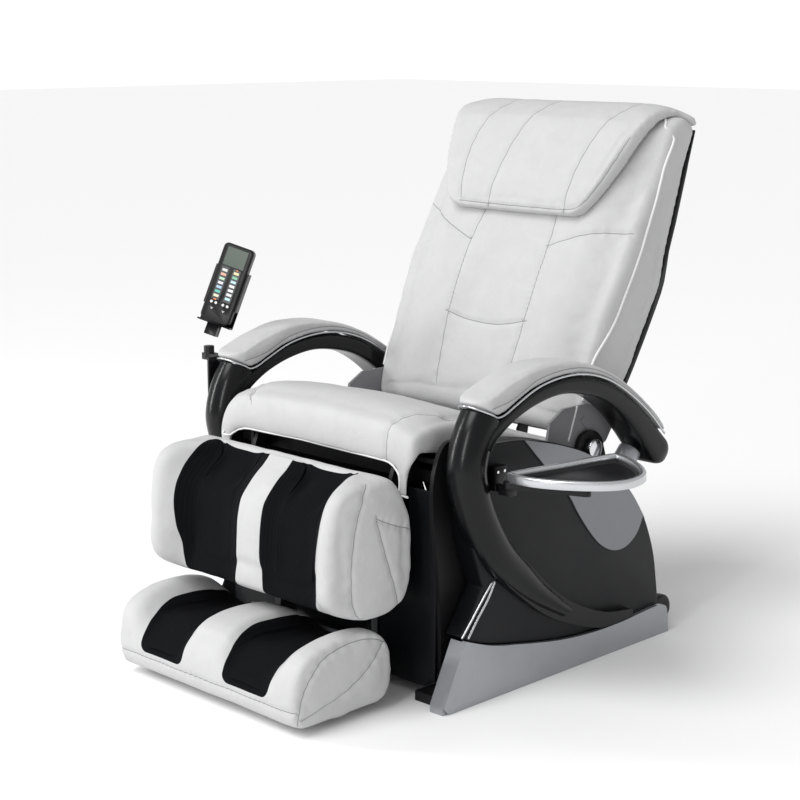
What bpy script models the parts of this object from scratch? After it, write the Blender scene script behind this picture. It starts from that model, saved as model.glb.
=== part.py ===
# Massage chair: base, armrests, reclining back, leg unit, side tray and remote control.
# Metres, +Z up, the sitter looks along -Y, and +X is the sitter's left hand.
import math

import bmesh
import bpy
from mathutils import Matrix, Vector, geometry

for old in list(bpy.data.objects):
    bpy.data.objects.remove(old, do_unlink=True)

# ---- driving dimensions ----
GAP = 0.0004                      # clearance between touching pieces
SHELL_OUT = 0.345                 # outer face of the side shells
SHELL_IN = 0.300                  # open side of the side shells
WALL = 0.004                      # moulded wall thickness
PLATE_IN = 0.2855                 # steel side plates of the base
PLATE_OUT = 0.2945
ARM_IN = 0.302                    # armrest hoop, inner and outer face
ARM_OUT = 0.378
ARM_RADIUS = (ARM_OUT - ARM_IN) / 2
ARM_X_MIDDLE = (ARM_OUT + ARM_IN) / 2
SEAT_HALF = 0.262
BACK_HALF = 0.283
CALF_HALF = 0.265
FOOT_HALF = 0.258
BACK_PIVOT = (0.060, 0.412)       # y, z of the recline axis
BACK_ANGLE = 28.5                 # degrees from upright
LEG_PIVOT = (-0.372, 0.447)       # y, z of the leg rest axis
SLIDE_X = 0.130                   # foot rest slide rods
LEG_MOTOR_X = -0.085
LEG_MOTOR_FOOT = (0.100, 0.060)   # y, z of its fixed end
LEG_MOTOR_HEAD = (-0.360, 0.250)
BACK_MOTOR_X = 0.080
BACK_MOTOR_FOOT = (-0.280, 0.070)
BACK_LEVER = 0.130                # recline lever below the pivot
LEVER_ROOM = ((0.088, -0.085, 0.30), (0.108, 0.050, 0.408))    # where the recline lever swings
WHEEL_CENTRE = (0.288, 0.0315)
WHEEL_RADIUS = 0.030
TRAY_PIVOT = (0.400, -0.300)      # x, y of the tray's upright axis
TRAY_TOP = 0.445
TRAY_RIM = 0.017
REMOTE_CENTRE = (-0.420, -0.265, 0.700)
REMOTE_YAW, REMOTE_LEAN, REMOTE_ROLL = 35.0, -12.0, 18.0
REMOTE_HALF = (0.0335, 0.012, 0.084)
REMOTE_POST = (-0.431, -0.311)    # x, y of its upright swivel axis
CARRIAGE_Z = 0.320                # height of the massage carriage up the back
GUIDE_X, GUIDE_Y = 0.140, 0.011   # guide rods inside the back
ROLLER_RADIUS = 0.022
ARM_X = 0.060                     # kneading arms, from the middle
SIDES = (("left", 1), ("right", -1))


# ---- helpers ----
def finish(name, colour, roughness, metallic=0.0):
    material = bpy.data.materials.new(name)
    material.use_nodes = True
    shader = material.node_tree.nodes["Principled BSDF"]
    shader.inputs["Base Color"].default_value = (*colour, 1.0)
    shader.inputs["Roughness"].default_value = roughness
    shader.inputs["Metallic"].default_value = metallic
    return material


LEATHER = finish("white_leather", (0.80, 0.80, 0.78), 0.5)
SHELL_BLACK = finish("charcoal_shell", (0.035, 0.038, 0.042), 0.4)
GLOSS_BLACK = finish("gloss_black", (0.012, 0.013, 0.016), 0.15)
SILVER = finish("silver_paint", (0.52, 0.53, 0.55), 0.35, 0.6)
GREY = finish("grey_inset", (0.26, 0.27, 0.29), 0.4, 0.2)
STEEL = finish("black_steel", (0.05, 0.05, 0.05), 0.45, 0.7)
BRIGHT = finish("bright_steel", (0.6, 0.6, 0.6), 0.25, 1.0)
PLASTIC = finish("black_plastic", (0.02, 0.02, 0.02), 0.45)
GLASS = finish("screen_grey", (0.06, 0.08, 0.07), 0.15)
KEY = finish("key_white", (0.85, 0.85, 0.85), 0.4)


def new_object(name, bm, material, parent=None, location=(0, 0, 0)):
    bmesh.ops.recalc_face_normals(bm, faces=bm.faces)
    if bm.calc_volume(signed=True) < 0:
        bmesh.ops.reverse_faces(bm, faces=bm.faces)
    mesh = bpy.data.meshes.new(name)
    bm.to_mesh(mesh)
    bm.free()
    mesh.materials.append(material)
    mesh.shade_smooth()
    mesh.set_sharp_from_angle(angle=math.radians(35))
    item = bpy.data.objects.new(name, mesh)
    bpy.context.collection.objects.link(item)
    item.location = location
    item.parent = parent
    return item


def smooth(points, steps=4, closed=False):
    """Points on a Catmull-Rom curve through a few guide points."""
    guide = [Vector(p) for p in points]
    count = len(guide)
    spans = count if closed else count - 1
    curve = []
    for i in range(spans):
        if closed:
            a, b, c, d = (guide[(i + k) % count] for k in (-1, 0, 1, 2))
        else:
            a, b, c, d = guide[max(i - 1, 0)], guide[i], guide[i + 1], guide[min(i + 2, count - 1)]
        for step in range(steps):
            t = step / steps
            curve.append(0.5 * (2 * b + (c - a) * t + (2 * a - 5 * b + 4 * c - d) * t * t
                                + (3 * b - a - 3 * c + d) * t ** 3))
    if not closed:
        curve.append(guide[-1])
    return curve


def offset(outline, distance):
    """A closed outline moved outwards (or inwards when negative) by a distance."""
    count = len(outline)
    area = sum(outline[i].x * outline[(i + 1) % count].y - outline[(i + 1) % count].x * outline[i].y
               for i in range(count))
    turn = 1 if area > 0 else -1
    moved = []
    for i in range(count):
        along = (outline[(i + 1) % count] - outline[i - 1]).normalized()
        point = outline[i] + turn * distance * Vector((along.y, -along.x))
        nearest = min(edge_distance(point, outline[k - 1], outline[k]) for k in range(count))
        if nearest > 0.93 * abs(distance):
            moved.append(point)
    return moved


def edge_distance(point, start, end):
    """Distance from a point to the edge between start and end."""
    foot, share = geometry.intersect_point_line(point, start, end)
    if share <= 0:
        return (point - start).length
    if share >= 1:
        return (point - end).length
    return (point - foot.to_2d()).length


def ribbon(line, round_end=False):
    """Closed side-view outline around a line of (u, v, half width) points."""
    left, right = [], []
    for i, point in enumerate(line):
        along = (line[min(i + 1, len(line) - 1)] - line[max(i - 1, 0)]).to_2d().normalized()
        side = Vector((-along.y, along.x)) * point.z
        left.append(point.to_2d() + side)
        right.append(point.to_2d() - side)
    tip, inner = line[-1], line[-2]
    heading = math.degrees(math.atan2(tip.y - inner.y, tip.x - inner.x))
    cap = arc(tip, tip.z, heading - 75, heading + 75, 5) if round_end else []
    return left[::-1] + right + cap


def prism_mesh(outline, low, high, axis="X"):
    """Fill an outline and extrude it along X (outline y, z), Y (x, z) or Z (x, y)."""
    bm = bmesh.new()
    place = {"X": lambda p: (low, p[0], p[1]), "Y": lambda p: (p[0], low, p[1]),
             "Z": lambda p: (p[0], p[1], low)}[axis]
    face = bm.faces.new([bm.verts.new(place(p)) for p in outline])
    grown = bmesh.ops.extrude_face_region(bm, geom=[face])
    top = [v for v in grown["geom"] if isinstance(v, bmesh.types.BMVert)]
    bmesh.ops.translate(bm, verts=top, vec={"X": (high - low, 0, 0), "Y": (0, high - low, 0),
                                            "Z": (0, 0, high - low)}[axis])
    return bm


def prism(name, outline, low, high, material, axis="X", parent=None, location=(0, 0, 0)):
    return new_object(name, prism_mesh(outline, low, high, axis), material, parent, location)


def box_mesh(low, high):
    bm = bmesh.new()
    size = [b - a for a, b in zip(low, high)]
    middle = [(a + b) / 2 for a, b in zip(low, high)]
    bmesh.ops.create_cube(bm, size=1.0, matrix=Matrix.Translation(middle) @ Matrix.Diagonal((*size, 1)))
    return bm


def box(name, low, high, material, parent=None, location=(0, 0, 0)):
    low, high = [min(p) for p in zip(low, high)], [max(p) for p in zip(low, high)]
    return new_object(name, box_mesh(low, high), material, parent, location)


def rod(name, start, end, radius, material, sides=16, parent=None, location=(0, 0, 0)):
    start, end = Vector(start), Vector(end)
    turn = (end - start).to_track_quat("Z", "Y").to_matrix().to_4x4()
    bm = bmesh.new()
    bmesh.ops.create_cone(bm, cap_ends=True, segments=sides, radius1=radius, radius2=radius,
                          depth=(end - start).length, matrix=Matrix.Translation((start + end) / 2) @ turn)
    return new_object(name, bm, material, parent, location)


def combine(item, tools, operation):
    """Boolean each tool into the item; the tools stay as hidden wire guides."""
    for tool in tools:
        tool.hide_render = True
        tool.display_type = "WIRE"
        step = item.modifiers.new(operation.lower(), "BOOLEAN")
        step.operation = operation
        step.solver = "EXACT"
        step.object = tool
    return item


def join(item, *tools):
    return combine(item, tools, "UNION")


def cut(item, *tools):
    return combine(item, tools, "DIFFERENCE")


def round_edges(item, width, segments=2, angle=35):
    step = item.modifiers.new("round", "BEVEL")
    step.width = width
    step.segments = segments
    step.limit_method = "ANGLE"
    step.angle_limit = math.radians(angle)
    return item


def axis_empty(name, location, turn=(0, 0, 0)):
    empty = bpy.data.objects.new(name, None)
    bpy.context.collection.objects.link(empty)
    empty.location = location
    empty.rotation_euler = turn
    return empty


def arc(centre, radius, start, end, steps):
    return [Vector((centre[0] + radius * math.cos(math.radians(start + (end - start) * i / steps)),
                    centre[1] + radius * math.sin(math.radians(start + (end - start) * i / steps))))
            for i in range(steps + 1)]


# ---- base ----
def base_frame():
    item = box("base_frame", (-0.292, -0.270, 0), (0.292, 0.235, 0.010), STEEL)
    plate = smooth([(-0.366, 0.13), (-0.374, 0.25), (-0.388, 0.36), (-0.386, 0.43), (-0.364, 0.482),
                    (-0.330, 0.492), (-0.295, 0.470), (-0.255, 0.41)], 3)
    plate += smooth([(-0.05, 0.345), (0.01, 0.39), (0.030, 0.435), (0.060, 0.447), (0.090, 0.435),
                     (0.110, 0.39), (0.165, 0.20), (0.225, 0.005)], 3)
    plate += [Vector((-0.250, 0.005)), Vector((-0.365, 0.020))]
    tools = []
    for name, side in SIDES:
        tools.append(prism("plate_" + name, plate, side * PLATE_IN, side * PLATE_OUT, STEEL))
        # lug and pin for the leg unit's axle
        lug = [(-0.386, 0.404), (-0.330, 0.404), (-0.330, 0.428), (-0.3555, 0.440), (-0.3555, 0.459),
               (-0.386, 0.459)]
        tools.append(prism("lug_" + name, lug, side * 0.2035, side * 0.212, STEEL))
        tools.append(box("toe_" + name, (side * 0.257, -0.396, 0), (side * 0.312, -0.262, 0.019), STEEL))
        # stub axle and arm for the transport wheel
        tools.append(box("wheel_arm_" + name, (side * 0.284, 0.20, 0.004), (side * 0.2925, 0.300, 0.045),
                         STEEL))
        tools.append(rod("wheel_axle_" + name, (side * 0.29, *WHEEL_CENTRE),
                         (side * 0.322, *WHEEL_CENTRE),
                         0.006, STEEL, 12))
    tools.append(box("front_rail", (-0.29, -0.345, 0.404), (0.29, -0.318, 0.428), STEEL))
    for x, foot in ((LEG_MOTOR_X, LEG_MOTOR_FOOT), (BACK_MOTOR_X, BACK_MOTOR_FOOT)):
        tools.append(box("motor_lug", (x + 0.014, foot[0] - 0.016, 0.005),
                         (x + 0.022, foot[0] + 0.016, foot[1] + 0.016), STEEL))
        tools.append(rod("motor_pin", (x - 0.013, *foot), (x + 0.02, *foot), 0.006, STEEL, 12))
    join(item, *tools)
    cut(item, rod("leg_axle_bore", (-0.25, *LEG_PIVOT), (0.25, *LEG_PIVOT), 0.0066, STEEL, 16),
        rod("back_pivot_bore", (-0.33, *BACK_PIVOT), (0.33, *BACK_PIVOT), 0.0085, STEEL, 20))
    return item


def shell_outline():
    front = [Vector((-0.362, 0.134)), Vector((-0.335, 0.165)), Vector((-0.305, 0.215)),
             Vector((-0.335, 0.30)), Vector((-0.350, 0.42)), Vector((-0.325, 0.478))]
    top = smooth([(-0.273, 0.484), (-0.218, 0.481), (-0.154, 0.470), (-0.088, 0.452), (-0.007, 0.421),
                  (0.070, 0.375), (0.130, 0.320), (0.177, 0.258), (0.210, 0.181), (0.225, 0.106),
                  (0.231, 0.066)], 2)
    foot = [point + Vector((0, GAP)) for point in reversed(skirt_top()) if -0.35 < point.x < 0.20]
    return front + top + foot


def skirt_top():
    return smooth([(-0.363, 0.129), (-0.292, 0.104), (-0.213, 0.087), (-0.101, 0.067), (-0.006, 0.058),
                   (0.092, 0.057), (0.228, 0.063), (0.253, 0.040)], 2)


def post_line():
    """Centre line of the round front post of the armrest, from its foot to its head."""
    return smooth([(-0.165, 0.178, 0.026), (-0.222, 0.226, 0.034), (-0.276, 0.279, 0.0375),
                   (-0.323, 0.3555, 0.0375), (-0.347, 0.424, 0.0375), (-0.3475, 0.462, 0.0375),
                   (-0.333, 0.5055, 0.0375), (-0.303, 0.556, 0.0375)], 3)


def post(name, x, line, sides=16):
    """Round tube along a side-view line of (y, z, radius) points."""
    bm = bmesh.new()
    rings = []
    for i, point in enumerate(line):
        along = (line[min(i + 1, len(line) - 1)] - line[max(i - 1, 0)]).to_2d().normalized()
        ring = []
        for k in range(sides):
            turn = math.tau * k / sides
            out = point.z * math.sin(turn)
            spot = (x + ARM_RADIUS * math.cos(turn), point.x - along.y * out, point.y + along.x * out)
            ring.append(bm.verts.new(spot))
        rings.append(ring)
    for first, second in zip(rings, rings[1:]):
        for k in range(sides):
            bm.faces.new((first[k - 1], first[k], second[k], second[k - 1]))
    bm.faces.new(rings[0])
    bm.faces.new(rings[-1][::-1])
    return new_object(name, bm, GLOSS_BLACK)


def bow_outline():
    """Side view of the slim upper bow, from the post's head to its hooked rear end."""
    line = smooth([(-0.310, 0.512, 0.014), (-0.262, 0.540, 0.0135), (-0.200, 0.5625, 0.0155),
                   (-0.130, 0.5725, 0.016), (-0.062, 0.5665, 0.018), (0.005, 0.546, 0.018),
                   (0.070, 0.5085, 0.020), (0.126, 0.4615, 0.024), (0.1865, 0.400, 0.029)], 3)
    return ribbon(line, round_end=True)


def band_outline():
    """The flat band that carries the armrest's line down across the shell to the rear."""
    line = smooth([(-0.262, 0.264, 0.030), (-0.227, 0.230, 0.031), (-0.140, 0.158, 0.026),
                   (-0.059, 0.112, 0.020), (0.034, 0.0785, 0.0155), (0.098, 0.0735, 0.011)], 3)
    return ribbon(line, round_end=True)


def inset_outline():
    """Crescent of lighter panel along the shell's rear shoulder."""
    inner = smooth([(-0.198, 0.4775), (-0.153, 0.433), (-0.071, 0.353), (-0.037, 0.307), (0.002, 0.260),
                    (0.037, 0.228), (0.076, 0.210), (0.115, 0.210), (0.149, 0.230), (0.168, 0.262)], 3)
    edge = smooth([(0.174, 0.258), (0.128, 0.319), (0.068, 0.373), (-0.008, 0.419), (-0.088, 0.4495),
                   (-0.154, 0.4675), (-0.190, 0.4765)], 3)
    return inner + edge


def side_panels(name, side):
    outline = shell_outline()
    shell = prism("side_shell_" + name, outline, side * SHELL_IN, side * SHELL_OUT, SHELL_BLACK)
    round_edges(shell, 0.002, 1, 60)
    hollow = prism("hollow_" + name, offset(outline, -WALL), side * (SHELL_IN - 0.01),
                   side * (SHELL_OUT - WALL), SHELL_BLACK)
    line = [point + Vector((0, 0, 0.0008)) for point in post_line()]
    slot = prism("slot_" + name, ribbon(line), side * 0.28, side * 0.40, SHELL_BLACK)
    cut(shell, hollow, slot)
    prism("side_inset_" + name, inset_outline(), side * (SHELL_OUT + GAP), side * (SHELL_OUT + 0.0028),
          GREY)

    skirt_out = SHELL_OUT + 0.0095
    profile = skirt_top() + [Vector((0.256, 0.0)), Vector((-0.408, 0.0)), Vector((-0.420, 0.014)),
                             Vector((-0.392, 0.072))]
    skirt = prism("side_skirt_" + name, profile, side * 0.316, side * skirt_out, SILVER)
    round_edges(skirt, 0.006, 2, 50)
    room = prism("skirt_room_" + name, [(-0.393, -0.01), (0.30, -0.01), (0.30, 0.16), (-0.345, 0.16)],
                 side * 0.30, side * (SHELL_OUT + GAP), SILVER)
    cut(skirt, room)


def armrest(name, side):
    reach, corner = 0.3475, 0.034

    def within_plan(item, room):
        """Round the item's front corners as seen from above."""
        plan = arc((ARM_OUT + room - corner, corner - reach - room), corner, -90, 0, 5)
        plan += [Vector((ARM_OUT + room, 0.30)), Vector((ARM_IN - room, 0.30))]
        plan += arc((ARM_IN - room + corner, corner - reach - room), corner, 180, 270, 5)
        plan = [Vector((side * point.x, point.y)) for point in plan]
        return combine(item, [prism(item.name + "_plan", plan, 0.0, 0.70, GLOSS_BLACK, "Z")], "INTERSECT")

    hoop = post("armrest_hoop_" + name, side * ARM_X_MIDDLE, post_line())
    bow = prism("bow_" + name, bow_outline(), side * ARM_IN, side * ARM_OUT, GLOSS_BLACK)
    round_edges(bow, 0.009, 1, 60)
    band = prism("band_" + name, band_outline(), side * (SHELL_OUT + 0.0006), side * 0.360, GLOSS_BLACK)
    round_edges(band, 0.004, 1, 60)
    join(hoop, bow, band)

    under = [Vector((-0.384, 0.580)), Vector((-0.346, 0.5595)), Vector((-0.309, 0.5400))]
    under += smooth([(-0.288, 0.5440), (-0.262, 0.5556), (-0.200, 0.5800), (-0.130, 0.5905),
                     (-0.060, 0.5865),
                     (0.012, 0.5650), (0.080, 0.5265), (0.142, 0.4800), (0.190, 0.4330)], 3)
    over = [point + Vector((0.0008, 0.0035)) for point in under]
    above = [point + Vector((-0.0004, -0.0008)) for point in under]
    above += [Vector((0.25, 0.375)), Vector((0.25, 0.70)), Vector((-0.40, 0.70))]
    cut(hoop, prism("trim_room_" + name, above, side * 0.28, side * 0.40, SILVER))
    trim = prism("armrest_trim_" + name, under + over[::-1], side * (ARM_IN - 0.002),
                 side * (ARM_OUT + 0.002),
                 SILVER)
    within_plan(trim, 0.0025)

    base = [point + Vector((0.0003, 0.0006)) for point in over]
    crown = smooth([(0.197, 0.441), (0.180, 0.464), (0.142, 0.500), (0.080, 0.546), (0.010, 0.584),
                    (-0.060, 0.608), (-0.130, 0.6195), (-0.200, 0.6180), (-0.270, 0.6010),
                    (-0.318, 0.5830),
                    (-0.356, 0.5720)], 3)
    pad = prism("armrest_pad_" + name, base + crown, side * (ARM_IN - 0.002), side * (ARM_OUT + 0.002),
                LEATHER)
    round_edges(pad, 0.007, 1, 60)
    within_plan(pad, 0.0020)

    rod("armrest_strut_" + name, (side * 0.335, 0.136, 0.4035), (side * 0.335, 0.100, 0.3655), 0.0235,
        SILVER, 24)
    knob = rod("back_pivot_" + name, (side * 0.262, *BACK_PIVOT), (side * 0.286, *BACK_PIVOT), 0.008,
               BRIGHT, 20)
    join(knob, rod("knob_head_" + name, (side * 0.296, *BACK_PIVOT), (side * 0.310, *BACK_PIVOT), 0.020,
                   BRIGHT, 24),
         rod("knob_neck_" + name, (side * 0.28, *BACK_PIVOT), (side * 0.30, *BACK_PIVOT), 0.008,
             BRIGHT, 20))


def covers():
    sheet = [(-0.285, 0.036), (-0.256, 0.020), (0.256, 0.020), (0.285, 0.036), (0.285, 0.398),
             (0.216, 0.398),
             (0.216, 0.210), (-0.216, 0.210), (-0.216, 0.398), (-0.285, 0.398)]
    prism("front_cover", sheet, -0.372, -0.3665, SHELL_BLACK, "Y")
    curve = smooth([(0.2365, 0.0105), (0.231, 0.076), (0.218, 0.140), (0.196, 0.200), (0.165, 0.258),
                    (0.126, 0.310)], 3)
    inner = [point - Vector((WALL, 0.001)) for point in curve]
    inner[0] = Vector((curve[0].x - WALL, curve[0].y))
    rear = prism("rear_cover", curve + inner[::-1], -0.283, 0.283, SHELL_BLACK)
    cut(rear, box("inlet_hole", (0.10, 0.20, 0.05), (0.16, 0.26, 0.08), SHELL_BLACK))


def electrics():
    inlet = box("power_inlet", (0.1005, 0.205, 0.0505), (0.1595, 0.2395, 0.0795), PLASTIC)
    socket = box("socket_room", (0.105, 0.222, 0.054), (0.130, 0.25, 0.076), PLASTIC)
    rocker_room = box("rocker_room", (0.136, 0.226, 0.054), (0.1545, 0.25, 0.076), PLASTIC)
    cut(inlet, socket, rocker_room)
    rocker = [(-0.0095, -0.003), (0.0095, -0.003), (0.0095, 0.0025), (0.0, 0.0), (-0.0095, 0.004)]
    prism("power_switch", [(v, u) for u, v in rocker], -0.008, 0.008, PLASTIC,
          location=(0.1453, 0.2362, 0.065))
    box("control_box", (0.13, -0.22, 0.0105), (0.27, 0.0, 0.075), PLASTIC)


def wheels(name, side):
    shoulder = WHEEL_RADIUS - 0.003
    tread = [(0.0065, -0.010), (0.0065, 0.010), (shoulder, 0.010), (WHEEL_RADIUS, 0.007),
             (WHEEL_RADIUS, -0.007), (shoulder, -0.010)]
    bm = bmesh.new()
    loop = [bm.verts.new((x, 0, r)) for r, x in tread]
    edges = [bm.edges.new((loop[i], loop[(i + 1) % len(loop)])) for i in range(len(loop))]
    bmesh.ops.spin(bm, geom=loop + edges, cent=(0, 0, 0), axis=(1, 0, 0), angle=math.tau, steps=24,
                   use_merge=True)
    new_object("transport_wheel_" + name, bm, PLASTIC, location=(side * 0.3045, *WHEEL_CENTRE))


# ---- seat ----
def seat():
    pan = [(-0.352, 0.4535), (-0.352, 0.4435), (0.03, 0.343), (0.03, 0.353)]
    pan_item = prism("seat_pan", pan, -0.270, 0.270, STEEL)
    cut(pan_item, box("lever_slot", *LEVER_ROOM, STEEL))
    top = smooth([(-0.412, 0.470), (-0.413, 0.492), (-0.395, 0.513), (-0.36, 0.522), (-0.31, 0.522),
                  (-0.22, 0.505), (-0.14, 0.476), (-0.06, 0.445), (0.015, 0.424), (0.036, 0.405),
                  (0.034, 0.372)], 2)
    under = [Vector((0.03, 0.3545)), Vector((-0.352, 0.4655)), Vector((-0.395, 0.4655))]
    cushion = prism("seat_cushion", top + under, -SEAT_HALF, SEAT_HALF, LEATHER)
    tabs = [box("tab_" + name, (side * 0.222, -0.411, 0.375), (side * 0.260, -0.402, 0.48), LEATHER)
            for name, side in SIDES]
    join(cushion, *tabs)
    cut(cushion, box("lever_pocket", *LEVER_ROOM, LEATHER))


# ---- reclining back, modelled upright about its pivot and leaned by its parent ----
def back(parent):
    rails = [box("rail_" + name, (side * 0.205, 0.002, -0.012), (side * 0.228, 0.022, 0.62), STEEL,
                 parent)
             for name, side in SIDES]
    guides = [rod("guide_" + name, (side * GUIDE_X, GUIDE_Y, 0.03), (side * GUIDE_X, GUIDE_Y, 0.61),
                  0.006, STEEL, 12, parent) for name, side in SIDES]
    ears = [box("ear_" + name, (side * 0.220, -0.016, -0.016), (side * 0.279, 0.022, 0.024), STEEL,
                parent)
            for name, side in SIDES]
    frame = box("back_frame", (-0.228, 0.002, 0.026), (0.228, 0.022, 0.05), STEEL, parent)
    head_bar = box("head_bar", (-0.228, 0.002, 0.60), (0.228, 0.022, 0.6205), STEEL, parent)
    lean = math.radians(BACK_ANGLE)
    tip = (BACK_LEVER * math.sin(lean), -BACK_LEVER * math.cos(lean))
    lever = prism("lever", [(0.003, 0.045), (0.003, 0.0), (tip[0] - 0.014, tip[1] - 0.004),
                            (tip[0], tip[1] - 0.014), (tip[0] + 0.014, tip[1]), (0.021, 0.045)],
                  BACK_MOTOR_X + 0.014, BACK_MOTOR_X + 0.022, STEEL, parent=parent)
    join(frame, *rails, *guides, *ears, head_bar, lever)
    cut(frame, rod("pivot_bore", (-0.30, 0, 0), (0.30, 0, 0), 0.0088, STEEL, 20, parent))
    ear_room = box("ear_room", (-0.2585, -0.03, -0.03), (0.2585, 0.0015, 0.03), STEEL, parent)
    cut(frame, ear_room)

    rear = smooth([(0.010, 0.700), (0.018, 0.620), (0.038, 0.510), (0.047, 0.450), (0.062, 0.390),
                   (0.064, 0.330), (0.060, 0.200), (0.050, 0.100), (0.040, 0.030)], 2)
    front = smooth([(-0.025, 0.030), (-0.055, 0.036), (-0.075, 0.070), (-0.092, 0.140), (-0.103, 0.220),
                    (-0.108, 0.310), (-0.107, 0.450), (-0.102, 0.550), (-0.098, 0.620), (-0.085, 0.670),
                    (-0.050, 0.700), (-0.010, 0.705)], 2)
    cushion = prism("back_cushion", rear + front, -BACK_HALF, BACK_HALF, LEATHER, parent=parent)
    cut(cushion, box("back_room", (-0.240, -0.060, 0.085), (0.240, 0.12, 0.635), LEATHER, parent),
        box("foot_room", (-0.240, -0.012, 0.0), (0.240, 0.12, 0.10), LEATHER, parent))

    outer = smooth([(0.0145, 0.700), (0.028, 0.630), (0.031, 0.618), (0.052, 0.512), (0.0614, 0.450),
                    (0.079, 0.390), (0.081, 0.330), (0.075, 0.200), (0.064, 0.100), (0.054, 0.030)], 2)
    inner = [point + Vector((GAP, 0)) for point in rear]
    shell = prism("back_shell", outer + inner[::-1], -0.276, 0.276, SHELL_BLACK, parent=parent)
    thin = [point - Vector((0.003, 0)) for point in outer if 0.04 < point.y < 0.65]
    room = prism("back_shell_room", thin + [Vector((-0.02, 0.04)), Vector((-0.02, 0.64))], -0.236, 0.236,
                 SHELL_BLACK, parent=parent)
    cut(shell, room)

    around = offset(rear + front, 0.0009)
    pillow_under = [point for point in around if point.x < -0.004 and point.y > 0.44]
    pillow_over = smooth([(0.010, 0.7085), (0.016, 0.716), (0.0, 0.7245), (-0.04, 0.724),
                          (-0.085, 0.708), (-0.122, 0.672),
                          (-0.139, 0.615), (-0.146, 0.540), (-0.143, 0.460), (-0.132, 0.433),
                          (-0.1095, 0.433)], 3)
    pillow = prism("head_pillow", pillow_under + pillow_over, -0.28, 0.28, LEATHER, parent=parent)
    half = smooth([(0.150, 0.4335), (0.182, 0.445), (0.213, 0.500), (0.245, 0.600), (0.262, 0.660),
                   (0.272, 0.730)], 2)
    plan = [Vector((p.x, p.y)) for p in half] + [Vector((-p.x, p.y)) for p in reversed(half)]
    combine(pillow, [prism("pillow_plan", plan, -0.2, 0.1, LEATHER, "Y", parent)], "INTERSECT")

    rod("lead_screw", (0, GUIDE_Y, 0.0505), (0, GUIDE_Y, 0.5995), 0.009, BRIGHT, 20, parent)


def massage_unit(parent):
    block = box("massage_carriage", (-0.165, -0.004, -0.045), (0.165, 0.0195, 0.045), STEEL, parent)
    bores = [rod("guide_bore_" + name, (side * GUIDE_X, GUIDE_Y, -0.06), (side * GUIDE_X, GUIDE_Y, 0.06),
                 0.0069, STEEL, 12, parent) for name, side in SIDES]
    cut(block, *bores, rod("screw_bore", (0, GUIDE_Y, -0.06), (0, GUIDE_Y, 0.06), 0.0098, STEEL, 20,
                           parent))
    for name, side in SIDES:
        arm_axis = axis_empty("kneading_axis_" + name, (side * ARM_X, -0.009, 0))
        arm_axis.parent = parent
        arm = box("kneading_arm_" + name, (-0.009, -0.0055, -0.056), (0.009, 0.0045, 0.056), STEEL,
                  arm_axis)
        for level, end in (("upper", 1), ("lower", -1)):
            height = end * 0.050
            join(arm, box("lug_%s_%s" % (level, name), (-0.005, -0.033, height - 0.006),
                          (0.005, 0.0, height + 0.006), STEEL, arm_axis),
                 rod("stub_%s_%s" % (level, name), (0, -0.026, height), (side * 0.030, -0.026, height),
                     0.004, STEEL, 12, arm_axis))
            roller = rod("roller_%s_%s" % (level, name), (-0.009, 0, 0), (0.009, 0, 0), ROLLER_RADIUS,
                         PLASTIC, 20, arm_axis, (side * 0.0195, -0.026, height))
            cut(roller, rod("bore_%s_%s" % (level, name), (-0.02, 0, 0), (0.02, 0, 0), 0.0045,
                            PLASTIC, 12, arm_axis, (side * 0.0195, -0.026, height)))
            round_edges(roller, 0.003, 1, 60)


# ---- motors: a hinged tube and a rod that slides in it ----
def motor(name, x, foot, head, sleeve_length, rod_start):
    start, end = Vector((x, *foot)), Vector((x, *head))
    along = (end - start).normalized()
    axis = axis_empty(name + "_axis", start, (math.atan2(along.z, along.y), 0, 0))
    length = (end - start).length
    tube = rod(name + "_tube", (0, 0.030, 0), (0, sleeve_length, 0), 0.020, PLASTIC, 20, axis)
    eye = rod(name + "_eye", (-0.011, 0, 0), (0.011, 0, 0), 0.014, PLASTIC, 20, axis)
    neck = box(name + "_neck", (-0.010, 0.005, -0.012), (0.010, 0.035, 0.012), PLASTIC, axis)
    join(tube, eye, neck)
    cut(tube, rod(name + "_eye_bore", (-0.03, 0, 0), (0.03, 0, 0), 0.0066, PLASTIC, 16, axis),
        rod(name + "_sleeve_bore", (0, 0.050, 0), (0, sleeve_length + 0.05, 0), 0.0128, PLASTIC, 20,
            axis))
    shaft = rod(name + "_rod", (0, rod_start, 0), (0, length, 0), 0.012, BRIGHT, 16, axis)
    end_eye = rod(name + "_end", (-0.012, length, 0), (0.012, length, 0), 0.014, BRIGHT, 20, axis)
    join(shaft, end_eye)
    cut(shaft, rod(name + "_end_bore", (-0.03, length, 0), (0.03, length, 0), 0.006, BRIGHT, 16, axis))


# ---- leg unit ----
def local(points):
    """Side-view points of the chair, measured from the leg axle."""
    y0, z0 = LEG_PIVOT
    return [Vector((y - y0, z - z0)) for y, z in points]


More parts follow.
